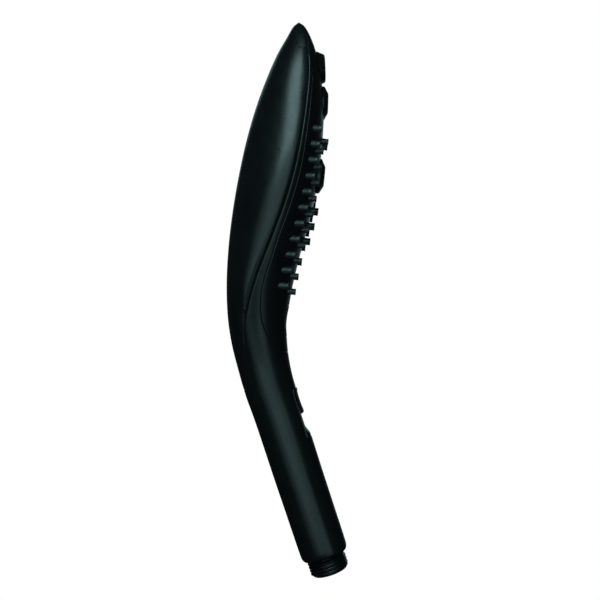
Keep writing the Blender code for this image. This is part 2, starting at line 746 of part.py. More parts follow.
def valve():
    """The valve that the slider works: a housing, the gate on the slider's stem, and the seal over its slot."""
    counterbore = TUBE_RADIUS + GAP
    profile = [
        (VALVE_RADIUS, VALVE_BOTTOM),
        (VALVE_RADIUS, VALVE_TOP),
        (counterbore, VALVE_TOP),
        (counterbore, 99 * MM),
        (VALVE_BORE, 99 * MM),
        (VALVE_BORE, 77 * MM),
        (3.4 * MM, 74 * MM),
        (3.4 * MM, 71 * MM),
        (counterbore, 71 * MM),
        (counterbore, VALVE_BOTTOM),
    ]
    housing = turned("valve_housing", profile, 24, material="grey_inner_plastic")
    slot_low = (2 * MM, -STEM_HALF_WIDTH - GAP, STEM_BOTTOM - SLIDER_TRAVEL - 0.4 * MM)
    slot_high = (12 * MM, STEM_HALF_WIDTH + GAP, STEM_TOP + 0.4 * MM)
    cut(housing, box("valve_slot", slot_low, slot_high))

    middle = Vector((0, 0, (STEM_BOTTOM + STEM_TOP) / 2))
    plug = [(1.6 * MM, -10 * MM), (3.6 * MM, -6.5 * MM), (3.6 * MM, 3.6 * MM), (2.6 * MM, 4.6 * MM)]
    gate = turned("valve_gate", plug, 20, False, material="white_valve_plastic", location=middle)
    half = (STEM_TOP - STEM_BOTTOM) / 2
    arm = box("gate_arm", (2 * MM, -STEM_HALF_WIDTH, -half), (TRACK_FLOOR, STEM_HALF_WIDTH, half), location=middle)
    cut(gate, arm, "UNION")

    seal_low = (VALVE_RADIUS + 0.2 * MM, -3.8 * MM, -11.5 * MM)
    seal_high = (TRACK_BACK - 0.2 * MM, 3.8 * MM, 9.5 * MM)
    seal = box("slot_seal", seal_low, seal_high, material="seal_rubber", location=middle)
    hole_low = (VALVE_RADIUS - MM, -STEM_HALF_WIDTH - 0.15 * MM, -half - 0.15 * MM)
    hole_high = (TRACK_FLOOR, STEM_HALF_WIDTH + 0.15 * MM, half + 0.15 * MM)
    cut(seal, box("seal_hole", hole_low, hole_high, location=middle))


# The inlet and the water's way up


def threaded_inlet():
    """A half-inch pipe thread with a chamfered end, and the stem that goes up inside the handle."""
    levels = 4
    sides = 18
    depth = THREAD_RADIUS - THREAD_ROOT
    chamfer = 1.6 * MM
    rings = [circle(INLET_BORE, 0.0, sides), circle(THREAD_RADIUS - chamfer, 0.0, sides)]
    count = int(THREAD_LENGTH / THREAD_PITCH * levels)
    for level in range(1, count + 1):
        z = level * THREAD_PITCH / levels
        ring = []
        for i in range(sides):
            phase = (z / THREAD_PITCH - i / sides) % 1.0
            ridge = min(1.0, max(0.0, 1.25 - 2.5 * abs(phase - 0.5)))
            radius = THREAD_ROOT + depth * ridge
            radius = min(radius, THREAD_RADIUS - chamfer + z)
            a = 2 * math.pi * i / sides
            ring.append((radius * math.cos(a), radius * math.sin(a), z))
        rings.append(ring)
    groove = 8.1 * MM
    stem = [(INLET_STEM_RADIUS, THREAD_LENGTH + 0.2 * MM)]
    for low in (18 * MM, 26 * MM):
        high = low + 1.8 * MM
        stem += [(INLET_STEM_RADIUS, low), (groove, low), (groove, high), (INLET_STEM_RADIUS, high)]
    stem += [(INLET_STEM_RADIUS, INLET_STEM_TOP), (INLET_BORE, INLET_STEM_TOP)]
    rings += [circle(radius, z, sides) for radius, z in stem]
    solid_of_rings("threaded_inlet", rings, closed=True, material="satin_black_plastic")
    for name, z in (("lower_inlet_o_ring", 18.9 * MM), ("upper_inlet_o_ring", 26.9 * MM)):
        o_ring(name, 8.8 * MM, 0.5 * MM, location=(0, 0, z))


def inlet_fittings():
    """The filter and the flow limiter in the inlet's bore."""
    reach = INLET_BORE - GAP
    disc = [(reach, 2.4 * MM), (reach, 3.4 * MM)]
    screen = turned("filter_screen", disc, 20, False, material="stainless_steel")
    mesh_data = bmesh.new()
    for hole in range(7):
        a = 2 * math.pi * hole / 6
        spread = 0.0 if hole == 6 else 3.9 * MM
        middle = Vector((spread * math.cos(a), spread * math.sin(a), 0))
        rings = [[middle + Vector(point) for point in circle(1.3 * MM, z, 6)] for z in (2 * MM, 4 * MM)]
        add_rings(mesh_data, rings)
    cut(screen, new_object("filter_holes", mesh_data))
    limiter = [
        (2.0 * MM, 4.2 * MM),
        (reach, 4.2 * MM),
        (reach, 9.0 * MM),
        (5.0 * MM, 9.0 * MM),
        (5.0 * MM, 6.4 * MM),
        (2.0 * MM, 6.4 * MM),
    ]
    turned("flow_limiter", limiter, 20, material="white_valve_plastic")
    o_ring("limiter_o_ring", 3.9 * MM, 0.7 * MM, 16, location=(0, 0, 7.4 * MM))


def water_tubes():
    """The straight tube up to the valve, the bent one up to the diverter, and the elbow on to the channel plate."""
    bottom = 28 * MM
    top = 70.7 * MM
    lower = [(TUBE_BORE, bottom), (TUBE_RADIUS, bottom), (TUBE_RADIUS, top), (TUBE_BORE, top)]
    turned("lower_water_tube", lower, 20, material="white_valve_plastic")

    start = 99.4 * MM
    end = HEAD_START - DIVERTER_RADIUS - 2 * GAP
    path = []
    for step in range(7):
        u = step / 6
        path.append(place(start + (end - start) * u, RISER_SHIFT * u * u * (3 - 2 * u)))
    sweep("upper_water_tube", path, RISER_RADIUS, RISER_BORE, 12, material="white_valve_plastic")

    low = HEAD_START + DIVERTER_RADIUS + 2 * GAP
    elbow_t = 168 * MM
    top_n = face_n(elbow_t, 0.0, LID_DEPTH[1]) - 0.8 * MM
    turn = 8.5 * MM
    path = [place(low, RISER_SHIFT)]
    for step in range(6):
        a = math.pi / 2 * step / 5
        path.append(place(elbow_t - turn + turn * math.sin(a), RISER_SHIFT + turn * (1 - math.cos(a))))
    path.append(place(elbow_t, top_n))
    sweep("feed_elbow", path, RISER_BORE + 1.2 * MM, RISER_BORE, 12, material="white_valve_plastic")


def build():
    clear_scene()
    panel = shells(hollow_of_body())
    mat = face(panel)
    plate, lid = water_plates()
    outlets(panel, mat, plate)
    feed_holes(lid, plate)
    diverter(select_button())
    slider()
    slider_track()
    valve()
    threaded_inlet()
    inlet_fittings()
    water_tubes()
    merge_flat_faces()


build()
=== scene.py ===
"""The looks of the handheld shower head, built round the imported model.

Metres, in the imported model's frame: the origin is the middle of the inlet's end face, +Z runs up the handle
and +X is the spray side. A place on the body is given as (t, n, y): t along the bent spine, n from the spine
towards the spray side and y to the side. An angle goes round the body from the front, where it is 0, to the
back. The tables of lengths that have no MM in them are in millimetres.
"""

import json
import math

import bmesh
import bpy
import numpy as np
from mathutils import Matrix, Vector, kdtree
from mathutils.geometry import delaunay_2d_cdt


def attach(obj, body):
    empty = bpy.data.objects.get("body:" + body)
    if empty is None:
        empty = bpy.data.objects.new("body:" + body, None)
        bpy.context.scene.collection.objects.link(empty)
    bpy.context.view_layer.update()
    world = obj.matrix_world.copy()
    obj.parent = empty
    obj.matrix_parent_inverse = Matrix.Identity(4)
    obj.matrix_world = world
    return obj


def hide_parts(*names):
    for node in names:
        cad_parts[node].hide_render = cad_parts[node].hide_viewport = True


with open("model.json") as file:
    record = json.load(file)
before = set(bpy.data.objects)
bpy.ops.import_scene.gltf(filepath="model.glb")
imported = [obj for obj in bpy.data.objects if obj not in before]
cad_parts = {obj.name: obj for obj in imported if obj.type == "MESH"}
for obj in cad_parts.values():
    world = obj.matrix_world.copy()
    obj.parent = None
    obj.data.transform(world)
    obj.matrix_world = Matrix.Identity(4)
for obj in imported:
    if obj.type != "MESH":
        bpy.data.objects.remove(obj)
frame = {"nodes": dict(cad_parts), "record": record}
scene = bpy.context.scene
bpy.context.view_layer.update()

MM = 0.001

# The body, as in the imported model.
WALL = 2.2 * MM
THINNEST_WALL = 0.3 * MM
ROLLED_WALL = 0.1 * MM
BEND_START = 98.2 * MM
BEND_RADIUS = 100 * MM
HEAD_TILT = math.radians(24)
HEAD_START = BEND_START + BEND_RADIUS * HEAD_TILT
HANDLE_BORE = 9.5 * MM

# t, n at the back, n where the body is widest, n at the front, and the half width, in millimetres. The rows
# from 15 to 32 keep the lower handle straight.
BODY_ROWS = [
    (9.0, -10.6, 0.0, 10.6, 10.6),
    (9.5, -11.7, 0.0, 11.7, 11.7),
    (10.6, -12.4, 0.0, 12.4, 12.4),
    (12.4, -12.7, 0.0, 12.7, 12.7),
    (15.0, -12.76, 0.0, 12.76, 12.76),
    (20.0, -12.82, 0.0, 12.82, 12.82),
    (32.0, -12.88, 0.0, 12.88, 12.88),
    (50.0, -13.0, 0.0, 13.0, 13.0),
    (98.0, -13.6, 0.0, 13.5, 13.6),
    (115.0, -14.7, -1.5, 13.3, 14.9),
    (130.0, -17.3, -5.0, 12.8, 17.9),
    (143.0, -19.9, -8.2, 12.5, 21.3),
    (157.0, -21.6, -8.9, 13.3, 24.9),
    (175.0, -22.5, -5.2, 15.7, 28.7),
    (195.0, -22.2, 0.0, 19.2, 31.7),
    (215.0, -20.8, 5.0, 21.5, 33.0),
    (235.0, -18.4, 8.8, 22.0, 32.2),
    (253.0, -15.0, 10.6, 21.1, 29.2),
    (269.0, -10.8, 10.9, 18.5, 24.4),
    (282.0, -6.5, 9.9, 14.9, 18.4),
    (291.0, -2.5, 8.0, 10.9, 12.4),
    (297.0, 0.2, 5.6, 7.1, 6.4),
    (300.2, 3.0, 3.1, 3.2, 0.3),
]

# The CAD's body has flat facets. These trims keep the smooth one inside its box, at the handle's back and
# at the widest place: t, breadth, height and the column of the rows above.
FACET_TRIMS = [(103.0, 22.0, 0.31, 1), (215.0, 25.0, -0.08, 4)]

# The two seams, as (t, n) in millimetres, seen from the side.
COVER_SEAM = [
    (102.0, -17.0), (106.0, -13.3), (112.0, -10.6), (120.0, -9.2), (130.0, -9.0), (142.0, -8.6),
    (154.0, -6.7), (165.0, -4.1), (182.0, 0.9), (200.0, 5.8), (220.0, 9.6), (238.0, 11.2),
    (254.0, 11.8), (270.0, 11.5), (281.0, 10.0), (290.0, 8.2), (295.0, 7.6), (302.0, 8.4),
]
PANEL_SEAM = [
    (120.0, 18.0), (122.0, 12.9), (126.0, 8.1), (131.0, 4.2), (138.0, 0.5), (146.0, -1.4),
    (155.0, -1.6), (162.0, -0.6), (170.0, 1.3), (182.0, 3.9), (200.0, 8.6), (219.0, 12.1),
    (238.0, 13.4), (258.0, 13.8), (275.0, 12.9), (287.0, 11.6), (292.0, 13.0), (295.0, 18.0),
]

# Where the shells are near an edge: pairs of distance from the edge and depth below the full surface.
COVER_ROLL = [
    (0.0, 1.45), (0.2, 1.12), (0.5, 0.84), (0.9, 0.60), (1.5, 0.34), (2.2, 0.15), (3.0, 0.045),
    (3.9, 0.0),
]
# The cover's edge grows shallow towards the handle and the tip: t and the share of its full depth.
COVER_ROLL_FADE = [(100, 0.05), (112, 0.2), (135, 0.7), (160, 1.0), (270, 1.0), (292, 0.45), (300, 0.2)]
# How much of the roll's breadth is left there: it narrows towards the tip.
COVER_ROLL_REACH = [(255, 1.0), (291, 0.3)]
BEZEL_ROLL = [(0.0, 0.50), (0.15, 0.27), (0.35, 0.12), (0.65, 0.03), (1.0, 0.0)]
PANEL_ROLL = [(0.0, 0.45), (0.12, 0.25), (0.3, 0.09), (0.6, 0.0)]
HOLE_ROLL = [(0.0, 0.25), (0.1, 0.1), (0.25, 0.0)]
SEAM_HALF_GAP = 0.16 * MM

# How finely the shells are meshed: points round the body, steps along it and along its seams, and the steps
# that smooth the tables above.
AROUND = 97
ROW_STEP = 2.2 * MM
PANEL_STEP = 2.0 * MM
MAT_STEP = 2.5 * MM
SEAM_STEP = 0.9 * MM
BODY_STEPS = 60
SEAM_STEPS = 200
# Millimetres a radian, for laying the body's surface out flat, and how near two points there may be.
FLAT_SCALE = 22
FLAT_SLACK = 1e-5
# A small step for taking slopes, the slack in comparing two places, how near two points are to be one, and
# what keeps a length from being zero.
NUDGE = 1e-5
SLACK = 1e-9
SAME_POINT = 1e-6
NO_ZERO = 1e-15
# Degrees between two faces from which their edge is shaded sharp, on hard pieces and on smooth ones.
SHARP_ANGLE = 35
SOFT_ANGLE = 50

# Where the panel lies, as t and half its angle round the body, and the clearances round what comes through.
PANEL_REACH = (121 * MM, 293 * MM, math.radians(110))
NOZZLE_CLEARANCE = 0.2 * MM
OUTLET_CLEARANCE = 0.3 * MM
BUTTON_CLEARANCE = 0.25 * MM
# How far the cover stops short of the tip's end, and how far down its rows grow closer.
TIP_HOLE = 0.04 * MM
TIP_REACH = 8 * MM
# The handle's first rows, in millimetres, close together round its lower edge.
FOOT_ROWS = [9.12, 9.25, 9.4, 9.6, 9.9, 10.3, 10.8, 11.4, 12.2, 13.2]

# The nozzles and the outlets, and the points round each of them. The button has as many as an outlet.
NOZZLE_SIDES = 20
OUTLET_SIDES = 72
NOZZLE_RADIUS = 1.72 * MM
NOZZLE_HEIGHT = 3.6 * MM
NOZZLE_PITCH = 8.15 * MM
# The columns on each side of the middle: the first nozzle's t, its y as a share of the half width, how far
# that share grows from one nozzle to the next, and the first and last numbers in the column.
NOZZLE_COLUMNS = [
    (159.0 * MM, 0.66, 0.012, 0, 10),
    (156.5 * MM, 0.34, 0.028, 0, 9),
    (159.5 * MM, 0.16, 0.0, 3, 5),
    (236.5 * MM, 0.30, 0.0, 0, 0),
]
# The mat: its two ends and half its angle round the body, and the depths of its two faces.
MAT_REACH = (152 * MM, 250 * MM, math.radians(73))
MAT_DEPTH = (2.8 * MM, 4.1 * MM)
OUTLET_RADIUS = 9.1 * MM
OUTLET_FOOT = -5.6 * MM
OUTLET_WALL = 1.4 * MM
OUTLET_DISH = 5.0 * MM
OUTLET_HOLE = 2.2 * MM
JET_COUNT = 10
JET_RADIUS = 0.55 * MM
JET_RING = 5.1 * MM
# Each outlet's t, its height above the face and how far it leans towards the tip.
OUTLETS = {
    "upper": (276.6 * MM, 3.0 * MM, math.radians(8)),
    "middle": (258.2 * MM, 2.6 * MM, math.radians(4)),
    "lower": (219.3 * MM, 3.2 * MM, 0.0),
}
OUT_OF_FACE = math.pi / 2 + HEAD_TILT

# The button, the slider and the inlet.
BUTTON_HALF_WIDTH = 6.6 * MM
BUTTON_HALF_LENGTH = 9.0 * MM
BUTTON_BACK = 9.4 * MM
BUTTON_STEM_RADIUS = 2.2 * MM
BUTTON_STEM_LOW = 0.8 * MM
SLIDER_BOTTOM = 85.4 * MM
SLIDER_TOP = 99.0 * MM
SLIDER_TRAVEL = 7.0 * MM
SLIDER_HALF_WIDTH = 6.2 * MM
# Heights above the knob's lower end and the radii there, in millimetres: a lip, the thumb dish and a lip.
KNOB_PROFILE = [
    (0.0, 13.25), (0.5, 13.6), (1.3, 13.62), (3.0, 13.46), (6.0, 13.36), (9.0, 13.36),
    (11.4, 13.52), (12.6, 13.9), (13.2, 14.0), (13.6, 13.85),
]
KNOB_RADIUS = 13.5 * MM
TRACK_FLOOR = 11.4 * MM
TRACK_BACK = 10.3 * MM
TRACK_HALF_WIDTH = 6.9 * MM
TRACK_BOTTOM = 72.6 * MM
TRACK_CLEARANCE = 0.2 * MM
TRACK_ROUND = 13.35 * MM
RAMP_TOP = 13.1 * MM
SLOT_CLEARANCE = 0.4 * MM
STEM_HALF_WIDTH = 1.7 * MM
STEM_BOTTOM = 90.5 * MM
STEM_TOP = 94.5 * MM
GAP = 0.3 * MM
THREAD_RADIUS = 20.955 / 2 * MM
THREAD_ROOT = 18.631 / 2 * MM
THREAD_PITCH = 1.814 * MM
THREAD_LENGTH = 8.4 * MM
THREAD_CHAMFER = 1.6 * MM
THREAD_FADE = 0.9 * MM
INLET_BORE = 6.5 * MM
STEM_RADIUS = 9.2 * MM
STEM_END = 34 * MM
GROOVE_RADIUS = 8.1 * MM
GROOVE_WIDTH = 1.8 * MM
GROOVES = (18 * MM, 26 * MM)

# The camera stands square to the side of the object, and is rolled as in the photograph.
VIEW_CENTRE = Vector((0.0303, 0.0, 0.1428))
VIEW_ROLL = math.radians(18.42)
VIEW_WIDTH = 321 * MM
VIEW_DISTANCE = 0.535
SENSOR = 36.0
LIGHT_DISTANCE = 0.8
COOL = (0.60, 0.97, 1.0)
DIM_COLOUR = (0.85, 0.97, 1.0, 1)
DIM_STRENGTH = 0.015
WHITE = (1, 1, 1, 1)
FLOOR_Z = -0.16
FLOOR_HALF_WIDTH = 4


# The camera, the light and the stage


def make_camera():
    data = bpy.data.cameras.new("camera")
    data.sensor_width = SENSOR
    data.lens = SENSOR * VIEW_DISTANCE / VIEW_WIDTH
    data.clip_start = 0.01
    camera = bpy.data.objects.new("camera", data)
    right = Vector((math.cos(VIEW_ROLL), 0, -math.sin(VIEW_ROLL)))
    up = Vector((math.sin(VIEW_ROLL), 0, math.cos(VIEW_ROLL)))
    back = right.cross(up)
    turn = Matrix((right, up, back)).transposed().to_4x4()
    camera.matrix_world = Matrix.Translation(VIEW_CENTRE + back * VIEW_DISTANCE) @ turn
    scene.collection.objects.link(camera)
    scene.camera = camera
    return right, up, back


def studio_light(name, view, off_axis, around, size, power):
    """A soft box that faces the object. Its place is an angle off the camera's axis, and one round it."""
    right, up, back = view
    aside = right * math.cos(math.radians(around)) + up * math.sin(math.radians(around))
    out = back * math.cos(math.radians(off_axis)) + aside * math.sin(math.radians(off_axis))
    data = bpy.data.lights.new(name, "AREA")
    data.shape = "RECTANGLE"
    data.size, data.size_y = size
    data.energy = power
    data.color = COOL
    lamp = bpy.data.objects.new(name, data)
    lamp.location = VIEW_CENTRE + out * LIGHT_DISTANCE
    lamp.rotation_euler = (-out).to_track_quat("-Z", "Y").to_euler()
    scene.collection.objects.link(lamp)


def make_lights(view):
    """The key makes the long band of light on the cover, and front and handle_light make the handle's."""
    studio_light("key", view, 50, 112, (0.38, 0.72), 3.4)
    studio_light("front", view, 6, 150, (0.50, 0.90), 1.35)
    studio_light("left_front", view, 30, 195, (0.30, 0.80), 0.3)
    studio_light("handle_light", view, 28, -8, (0.34, 0.90), 0.62)
    # These two are for the views from the other sides.
    studio_light("back_key", view, 160, 100, (0.50, 0.70), 0.5)
    studio_light("spray_side", view, 165, -20, (0.50, 0.60), 0.12)


def make_world():
    """White to the eye, as the pale backdrop, and a dim even studio to everything else."""
    world = bpy.data.worlds.new("studio")
    world.use_nodes = True
    nodes = world.node_tree.nodes
    links = world.node_tree.links
    nodes.clear()
    output = nodes.new("ShaderNodeOutputWorld")
    mix = nodes.new("ShaderNodeMixShader")
    path = nodes.new("ShaderNodeLightPath")
    dim = nodes.new("ShaderNodeBackground")
    dim.inputs["Color"].default_value = DIM_COLOUR
    dim.inputs["Strength"].default_value = DIM_STRENGTH
    white = nodes.new("ShaderNodeBackground")
    white.inputs["Color"].default_value = WHITE
    links.new(path.outputs["Is Camera Ray"], mix.inputs[0])
    links.new(dim.outputs[0], mix.inputs[1])
    links.new(white.outputs[0], mix.inputs[2])
    links.new(mix.outputs[0], output.inputs["Surface"])
    scene.world = world


def make_floor():
    mesh_data = bmesh.new()
    bmesh.ops.create_grid(mesh_data, x_segments=1, y_segments=1, size=FLOOR_HALF_WIDTH)
    mesh = bpy.data.meshes.new("floor")
    mesh_data.to_mesh(mesh)
    mesh_data.free()
    floor = bpy.data.objects.new("floor", mesh)
    floor.location = (0, 0, FLOOR_Z)
    scene.collection.objects.link(floor)
    material = bpy.data.materials.new("pale_floor")
    material.use_nodes = True
    nodes = material.node_tree.nodes
    nodes.clear()
    output = nodes.new("ShaderNodeOutputMaterial")
    glow = nodes.new("ShaderNodeEmission")
    glow.inputs["Color"].default_value = WHITE
    material.node_tree.links.new(glow.outputs[0], output.inputs["Surface"])
    mesh.materials.append(material)
    floor.visible_diffuse = False
    floor.visible_glossy = False
    floor.visible_shadow = False


# Materials


class Shader:
    """A new material's nodes, with short ways to add to them. A grain is what noise takes."""

    def __init__(self, name, colour, roughness, metallic=0.0):
        self.material = bpy.data.materials.new(name)
        self.material.use_nodes = True
        self.tree = self.material.node_tree
        self.principled = self.tree.nodes["Principled BSDF"]
        self.principled.inputs["Base Color"].default_value = (*colour, 1)
        self.principled.inputs["Roughness"].default_value = roughness
        self.principled.inputs["Metallic"].default_value = metallic
        self.colour = colour
        self.roughness = roughness
        self.place = self.add("ShaderNodeTexCoord").outputs["Object"]

    def add(self, kind):
        return self.tree.nodes.new(kind)

    def link(self, source, target):
        self.tree.links.new(source, target)

    def noise(self, scale, detail=2.0, stretch=(1, 1, 1)):
        """Noise with that many grains a metre, stretched along the axes."""
        mapping = self.add("ShaderNodeMapping")
        mapping.inputs["Scale"].default_value = stretch
        self.link(self.place, mapping.inputs["Vector"])
        noise = self.add("ShaderNodeTexNoise")
        noise.inputs["Scale"].default_value = scale
        noise.inputs["Detail"].default_value = detail
        self.link(mapping.outputs[0], noise.inputs["Vector"])
        return noise.outputs["Fac"]

    def span(self, value, low, high):
        """The middle of a noise's range, stretched to low and high."""
        ramp = self.add("ShaderNodeMapRange")
        ramp.inputs["From Min"].default_value = 0.3
        ramp.inputs["From Max"].default_value = 0.7
        ramp.inputs["To Min"].default_value = low
        ramp.inputs["To Max"].default_value = high
        self.link(value, ramp.inputs["Value"])
        return ramp.outputs["Result"]

    def vary_roughness(self, amount, *grain):
        low = self.roughness - amount
        high = self.roughness + amount
        self.link(self.span(self.noise(*grain), low, high), self.principled.inputs["Roughness"])

    def vary_colour(self, other, *grain):
        value = self.noise(*grain)
        mix = self.add("ShaderNodeMix")
        mix.data_type = "RGBA"
        mix.inputs["A"].default_value = (*self.colour, 1)
        mix.inputs["B"].default_value = (*other, 1)
        self.link(self.span(value, 0.0, 1.0), mix.inputs["Factor"])
        self.link(mix.outputs["Result"], self.principled.inputs["Base Color"])

    def bump(self, distance, strength, *grain):
        value = self.noise(*grain)
        bump = self.add("ShaderNodeBump")
        bump.inputs["Distance"].default_value = distance
        bump.inputs["Strength"].default_value = strength
        self.link(value, bump.inputs["Height"])
        normal = self.principled.inputs["Normal"]
        if normal.is_linked:
            self.link(normal.links[0].from_socket, bump.inputs["Normal"])
        self.link(bump.outputs["Normal"], normal)


def satin_black_plastic():
    """Moulded black plastic: a fine grain, a faint ripple, streaks along the handle and an uneven colour."""
    shader = Shader("satin_black_plastic", (0.0040, 0.0052, 0.0056), 0.29)
    shader.principled.inputs["Specular IOR Level"].default_value = 0.5
    shader.vary_colour((0.0062, 0.0076, 0.0080), 55, 4)
    shader.vary_roughness(0.035, 240, 5, (1, 1, 0.35))
    shader.bump(0.012 * MM, 0.5, 5200, 2)
    shader.bump(0.010 * MM, 0.35, 900, 3)
    return shader.material


def black_silicone():
    """Soft silicone: a touch lighter than the plastic, with a dry bloom and a fine skin."""
    shader = Shader("black_silicone", (0.011, 0.0135, 0.0145), 0.42)
    shader.principled.inputs["Specular IOR Level"].default_value = 0.6
    shader.principled.inputs["Sheen Weight"].default_value = 0.15
    shader.principled.inputs["Sheen Roughness"].default_value = 0.4
    shader.vary_colour((0.024, 0.028, 0.030), 320, 4)
    shader.vary_roughness(0.07, 900, 3)
    shader.bump(0.02 * MM, 0.5, 3200, 3)
    return shader.material


def grey_inner_plastic():
    shader = Shader("grey_inner_plastic", (0.30, 0.31, 0.32), 0.50)
    shader.vary_colour((0.25, 0.26, 0.27), 90, 5, (1, 1, 0.3))
    shader.vary_roughness(0.06, 400, 4)
    shader.bump(0.02 * MM, 0.4, 2500, 2)
    return shader.material


def white_valve_plastic():
    shader = Shader("white_valve_plastic", (0.72, 0.72, 0.70), 0.40)
    shader.principled.inputs["Subsurface Weight"].default_value = 0.08
    shader.principled.inputs["Subsurface Scale"].default_value = 0.002
    shader.vary_colour((0.66, 0.655, 0.63), 120, 4)
    shader.vary_roughness(0.05, 600, 3)
    shader.bump(0.012 * MM, 0.4, 2800, 2)
    return shader.material


def seal_rubber():
    shader = Shader("seal_rubber", (0.018, 0.018, 0.019), 0.65)
    shader.vary_colour((0.030, 0.030, 0.031), 500, 4)
    shader.vary_roughness(0.08, 900, 3)
    shader.bump(0.02 * MM, 0.5, 4000, 3)
    return shader.material


def stainless_steel():
    """Drawn and stamped steel, with fine lines round it."""
    shader = Shader("stainless_steel", (0.62, 0.61, 0.59), 0.30, 1.0)
    shader.principled.inputs["Anisotropic"].default_value = 0.4
    shader.vary_colour((0.53, 0.52, 0.50), 300, 4)
    shader.vary_roughness(0.08, 700, 4, (1, 1, 12))
    shader.bump(0.006 * MM, 0.4, 2500, 2, (1, 1, 10))
    return shader.material


MATERIALS = {
    "satin_black_plastic": satin_black_plastic(),
    "black_silicone": black_silicone(),
    "grey_inner_plastic": grey_inner_plastic(),
    "white_valve_plastic": white_valve_plastic(),
    "seal_rubber": seal_rubber(),
    "stainless_steel": stainless_steel(),
}


def finish_cad_nodes():
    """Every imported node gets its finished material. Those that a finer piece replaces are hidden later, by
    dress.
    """
    for part in frame["record"]["subparts"]:
        node = frame["nodes"][part["node"]]
        material = MATERIALS[part["material_slot"]]
        if not node.data.materials:
            node.data.materials.append(material)
        for index in range(len(node.data.materials)):
            node.data.materials[index] = material


# The body's shape


def smooth_through(rows, steps):
    """Points of a smooth curve through the rows, with that many steps between each pair."""
    rows = np.array(rows) * MM
    lengths = np.linalg.norm(np.diff(rows, axis=0), axis=1)
    knots = np.concatenate([[0.0], np.cumsum(lengths)])
    slopes = np.gradient(rows, knots, axis=0)
    u = np.linspace(0, 1, steps, endpoint=False)[:, None]
    points = []
    for index, length in enumerate(lengths):
        points.append(
            (2 * u**3 - 3 * u**2 + 1) * rows[index]
            + (u**3 - 2 * u**2 + u) * length * slopes[index]
            + (3 * u**2 - 2 * u**3) * rows[index + 1]
            + (u**3 - u**2) * length * slopes[index + 1]
        )
    return np.concatenate([*points, rows[-1:]])


BODY = smooth_through(BODY_ROWS, BODY_STEPS)
for place_t, breadth, trim, column in FACET_TRIMS:
    BODY[:, column] += trim * MM * np.exp(-(((BODY[:, 0] / MM - place_t) / breadth) ** 2))
TIP = BODY[-1, 0]


def section(t):
    """The body's n at the back, where it is widest and at the front, and its half width, at those t."""
    return [np.interp(t, BODY[:, 0], BODY[:, column]) for column in (1, 2, 3, 4)]


def place(t, n, y):
    """The points at those t, n and y."""
    t = np.asarray(t, float)
    angle = np.clip((t - BEND_START) / BEND_RADIUS, 0.0, HEAD_TILT)
    past = np.maximum(t - HEAD_START, 0.0)
    x = BEND_RADIUS * (1 - np.cos(angle)) + past * np.sin(angle) + n * np.cos(angle)
    z = np.minimum(t, BEND_START) + BEND_RADIUS * np.sin(angle)
    z = z + past * np.cos(angle) - n * np.sin(angle)
    return np.stack([x, np.broadcast_to(y, x.shape), z], axis=-1)


def surface(t, angle, depth=0.0):
    """The surface's points at those t and angles, or a depth below it."""
    back, widest, front, half_width = section(t)
    reach = np.where(np.cos(angle) > 0, front - depth - widest, widest - back - depth)
    return place(t, widest + reach * np.cos(angle), (half_width - depth) * np.sin(angle))


def angle_at_n(t, n):
    """The angle at which the surface has that n, or nan outside it."""
    back, widest, front, _ = section(t)
    reach = np.where(n > widest, front - widest, widest - back)
    with np.errstate(invalid="ignore"):
        return np.arccos((n - widest) / np.maximum(reach, SLACK))


def angle_at_y(t, y):
    half_width = section(t)[3]
    return np.arcsin(np.clip(y / half_width, -1, 1))


def face_n(t, y):
    _, widest, front, half_width = section(t)
    return widest + (front - widest) * np.sqrt(np.maximum(1 - (y / half_width) ** 2, 0))


# Shells, made from outlines on the body's surface


def evenly(points, step):
    """The (t, angle) line with its points a step apart on the surface."""
    spots = surface(points[:, 0], points[:, 1])
    along = np.concatenate([[0], np.cumsum(np.linalg.norm(np.diff(spots, axis=0), axis=1))])
    count = max(2, round(along[-1] / step) + 1)
    at = np.linspace(0, along[-1], count)
    return np.stack([np.interp(at, along, points[:, 0]), np.interp(at, along, points[:, 1])], axis=1)


def seam_line(seam, shift):
    """Half a seam as (t, angle), from its lower end to its upper one, both in the middle of the body."""
    curve = smooth_through(seam, SEAM_STEPS)
    heading = np.gradient(curve, axis=0)
    heading /= np.linalg.norm(heading, axis=1)[:, None]
    curve = curve + shift * np.stack([-heading[:, 1], heading[:, 0]], axis=1)
    angles = angle_at_n(curve[:, 0], curve[:, 1])
    inside = np.where(np.isfinite(angles))[0]
    line = np.stack([curve[inside, 0], angles[inside]], axis=1)
    ends = [0.0 if angles[inside[end]] < math.pi / 2 else math.pi for end in (0, -1)]
    line[0, 1] = ends[0]
    line[-1, 1] = ends[1]
    return evenly(line, SEAM_STEP)


def slopes(t, angle):
    """How the surface's points move with t and with the angle."""
    by_t = surface(t + NUDGE, angle) - surface(t - NUDGE, angle)
    by_angle = surface(t, angle + NUDGE) - surface(t, angle - NUDGE)
    return by_t / (2 * NUDGE), by_angle / (2 * NUDGE)


def moved_in(line, distance, side):
    """The (t, angle) line moved along the surface, square to itself. side is 1 or -1."""
    by_t, by_angle = slopes(line[:, 0], line[:, 1])
    along = np.gradient(surface(line[:, 0], line[:, 1]), axis=0)
    along /= np.linalg.norm(along, axis=1)[:, None] + NO_ZERO
    normal = np.cross(by_t, by_angle)
    normal /= np.linalg.norm(normal, axis=1)[:, None] + NO_ZERO
    across = np.cross(normal, along) * side * np.reshape(distance, (-1, 1))
    moved = []
    for index in range(len(line)):
        matrix = np.stack([by_t[index], by_angle[index]], axis=1)
        moved.append(line[index] + np.linalg.lstsq(matrix, across[index], rcond=1e-4)[0])
    return np.array(moved)


